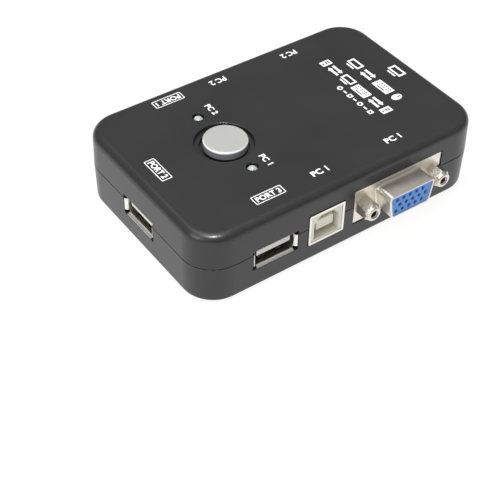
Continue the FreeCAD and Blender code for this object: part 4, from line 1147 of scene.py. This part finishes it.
def make_lights(look):
    """Light from all round, brighter overhead than at the horizon, two broad softboxes, and a small
    bright one high above the near corner, which is flagged off the floor and the metal sockets."""
    world = bpy.data.worlds.new("studio")
    bpy.context.scene.world = world
    world.use_nodes = True
    tree = world.node_tree
    background = tree.nodes["Background"]
    wire(tree, (*WHITE, 1.0), background.inputs["Color"])
    height = split(tree, tree.nodes.new("ShaderNodeTexCoord").outputs["Generated"], "Z")
    strength = ranged(tree, height, look.horizon, look.sky, 0.0, 1.0)
    wire(tree, strength, background.inputs["Strength"])
    lights = {name: make_light(name, place, target, size, getattr(look, power))
              for name, (place, target, size, power) in SOFTBOXES.items()}
    lit = bpy.data.collections.new("near_corner_lit")
    for shown in bpy.context.scene.objects:
        if shown.type == "MESH" and not shown.name.startswith(UNLIT_BY_NEAR):
            lit.objects.link(shown)
    lights["near_corner"].light_linking.receiver_collection = lit


def make_camera(look):
    """A camera at a distance along its view direction, rolled a little."""
    a, e, r = look.azimuth, look.elevation, look.roll
    back = np.array([math.sin(a) * math.cos(e), -math.cos(a) * math.cos(e), math.sin(e)])
    right = np.array([math.cos(a), math.sin(a), 0.0])
    up = np.cross(back, right)
    rolled_right = math.cos(r) * right + math.sin(r) * up
    rolled_up = math.cos(r) * up - math.sin(r) * right
    camera = bpy.data.cameras.new("camera")
    camera.lens = look.lens
    camera.sensor_width = CAMERA_SENSOR
    camera.clip_start = 0.01
    holder = shown_as("camera", camera)
    place = CAMERA_PLACE + (CASE_MIDDLE_X, 0.0, 0.0)
    holder.matrix_world = placed(rolled_right, rolled_up, back, place)
    bpy.context.scene.camera = holder


OPERATORS = (
    SWITCHBOX_OT_finish_nodes,
    SWITCHBOX_OT_button,
    SWITCHBOX_OT_lamps,
    SWITCHBOX_OT_feet,
    SWITCHBOX_OT_video_sockets,
    SWITCHBOX_OT_marks,
    SWITCHBOX_OT_stage,
)
GROUPS = {
    "switch_case": SWITCHBOX_PG_case,
    "switch_button": SWITCHBOX_PG_button,
    "switch_lamps": SWITCHBOX_PG_lamps,
    "switch_sockets": SWITCHBOX_PG_sockets,
    "switch_print": SWITCHBOX_PG_print,
    "switch_stage": SWITCHBOX_PG_stage,
}


class SWITCHBOX_PT_panel(bpy.types.Panel):
    """Lists the operators and the sizes that they read"""

    bl_idname = "SWITCHBOX_PT_panel"
    bl_label = "Switch Box"
    bl_space_type = "VIEW_3D"
    bl_region_type = "UI"
    bl_category = "Switch Box"

    def draw(self, context):
        for operator in OPERATORS:
            self.layout.operator(operator.bl_idname)
        for name, group in GROUPS.items():
            column = self.layout.column(align=True)
            for setting in group.__annotations__:
                column.prop(getattr(context.scene, name), setting)


def register():
    for group in GROUPS.values():
        bpy.utils.register_class(group)
    for name, group in GROUPS.items():
        setattr(bpy.types.Scene, name, PointerProperty(type=group))
    for operator in OPERATORS:
        bpy.utils.register_class(operator)
    bpy.utils.register_class(SWITCHBOX_PT_panel)


def unregister():
    bpy.utils.unregister_class(SWITCHBOX_PT_panel)
    for operator in reversed(OPERATORS):
        bpy.utils.unregister_class(operator)
    for name in GROUPS:
        delattr(bpy.types.Scene, name)
    for group in reversed(list(GROUPS.values())):
        bpy.utils.unregister_class(group)


def main():
    register()
    for operator in OPERATORS:
        family, action = operator.bl_idname.split(".")
        getattr(getattr(bpy.ops, family), action)()


if __name__ == "__main__":
    main()
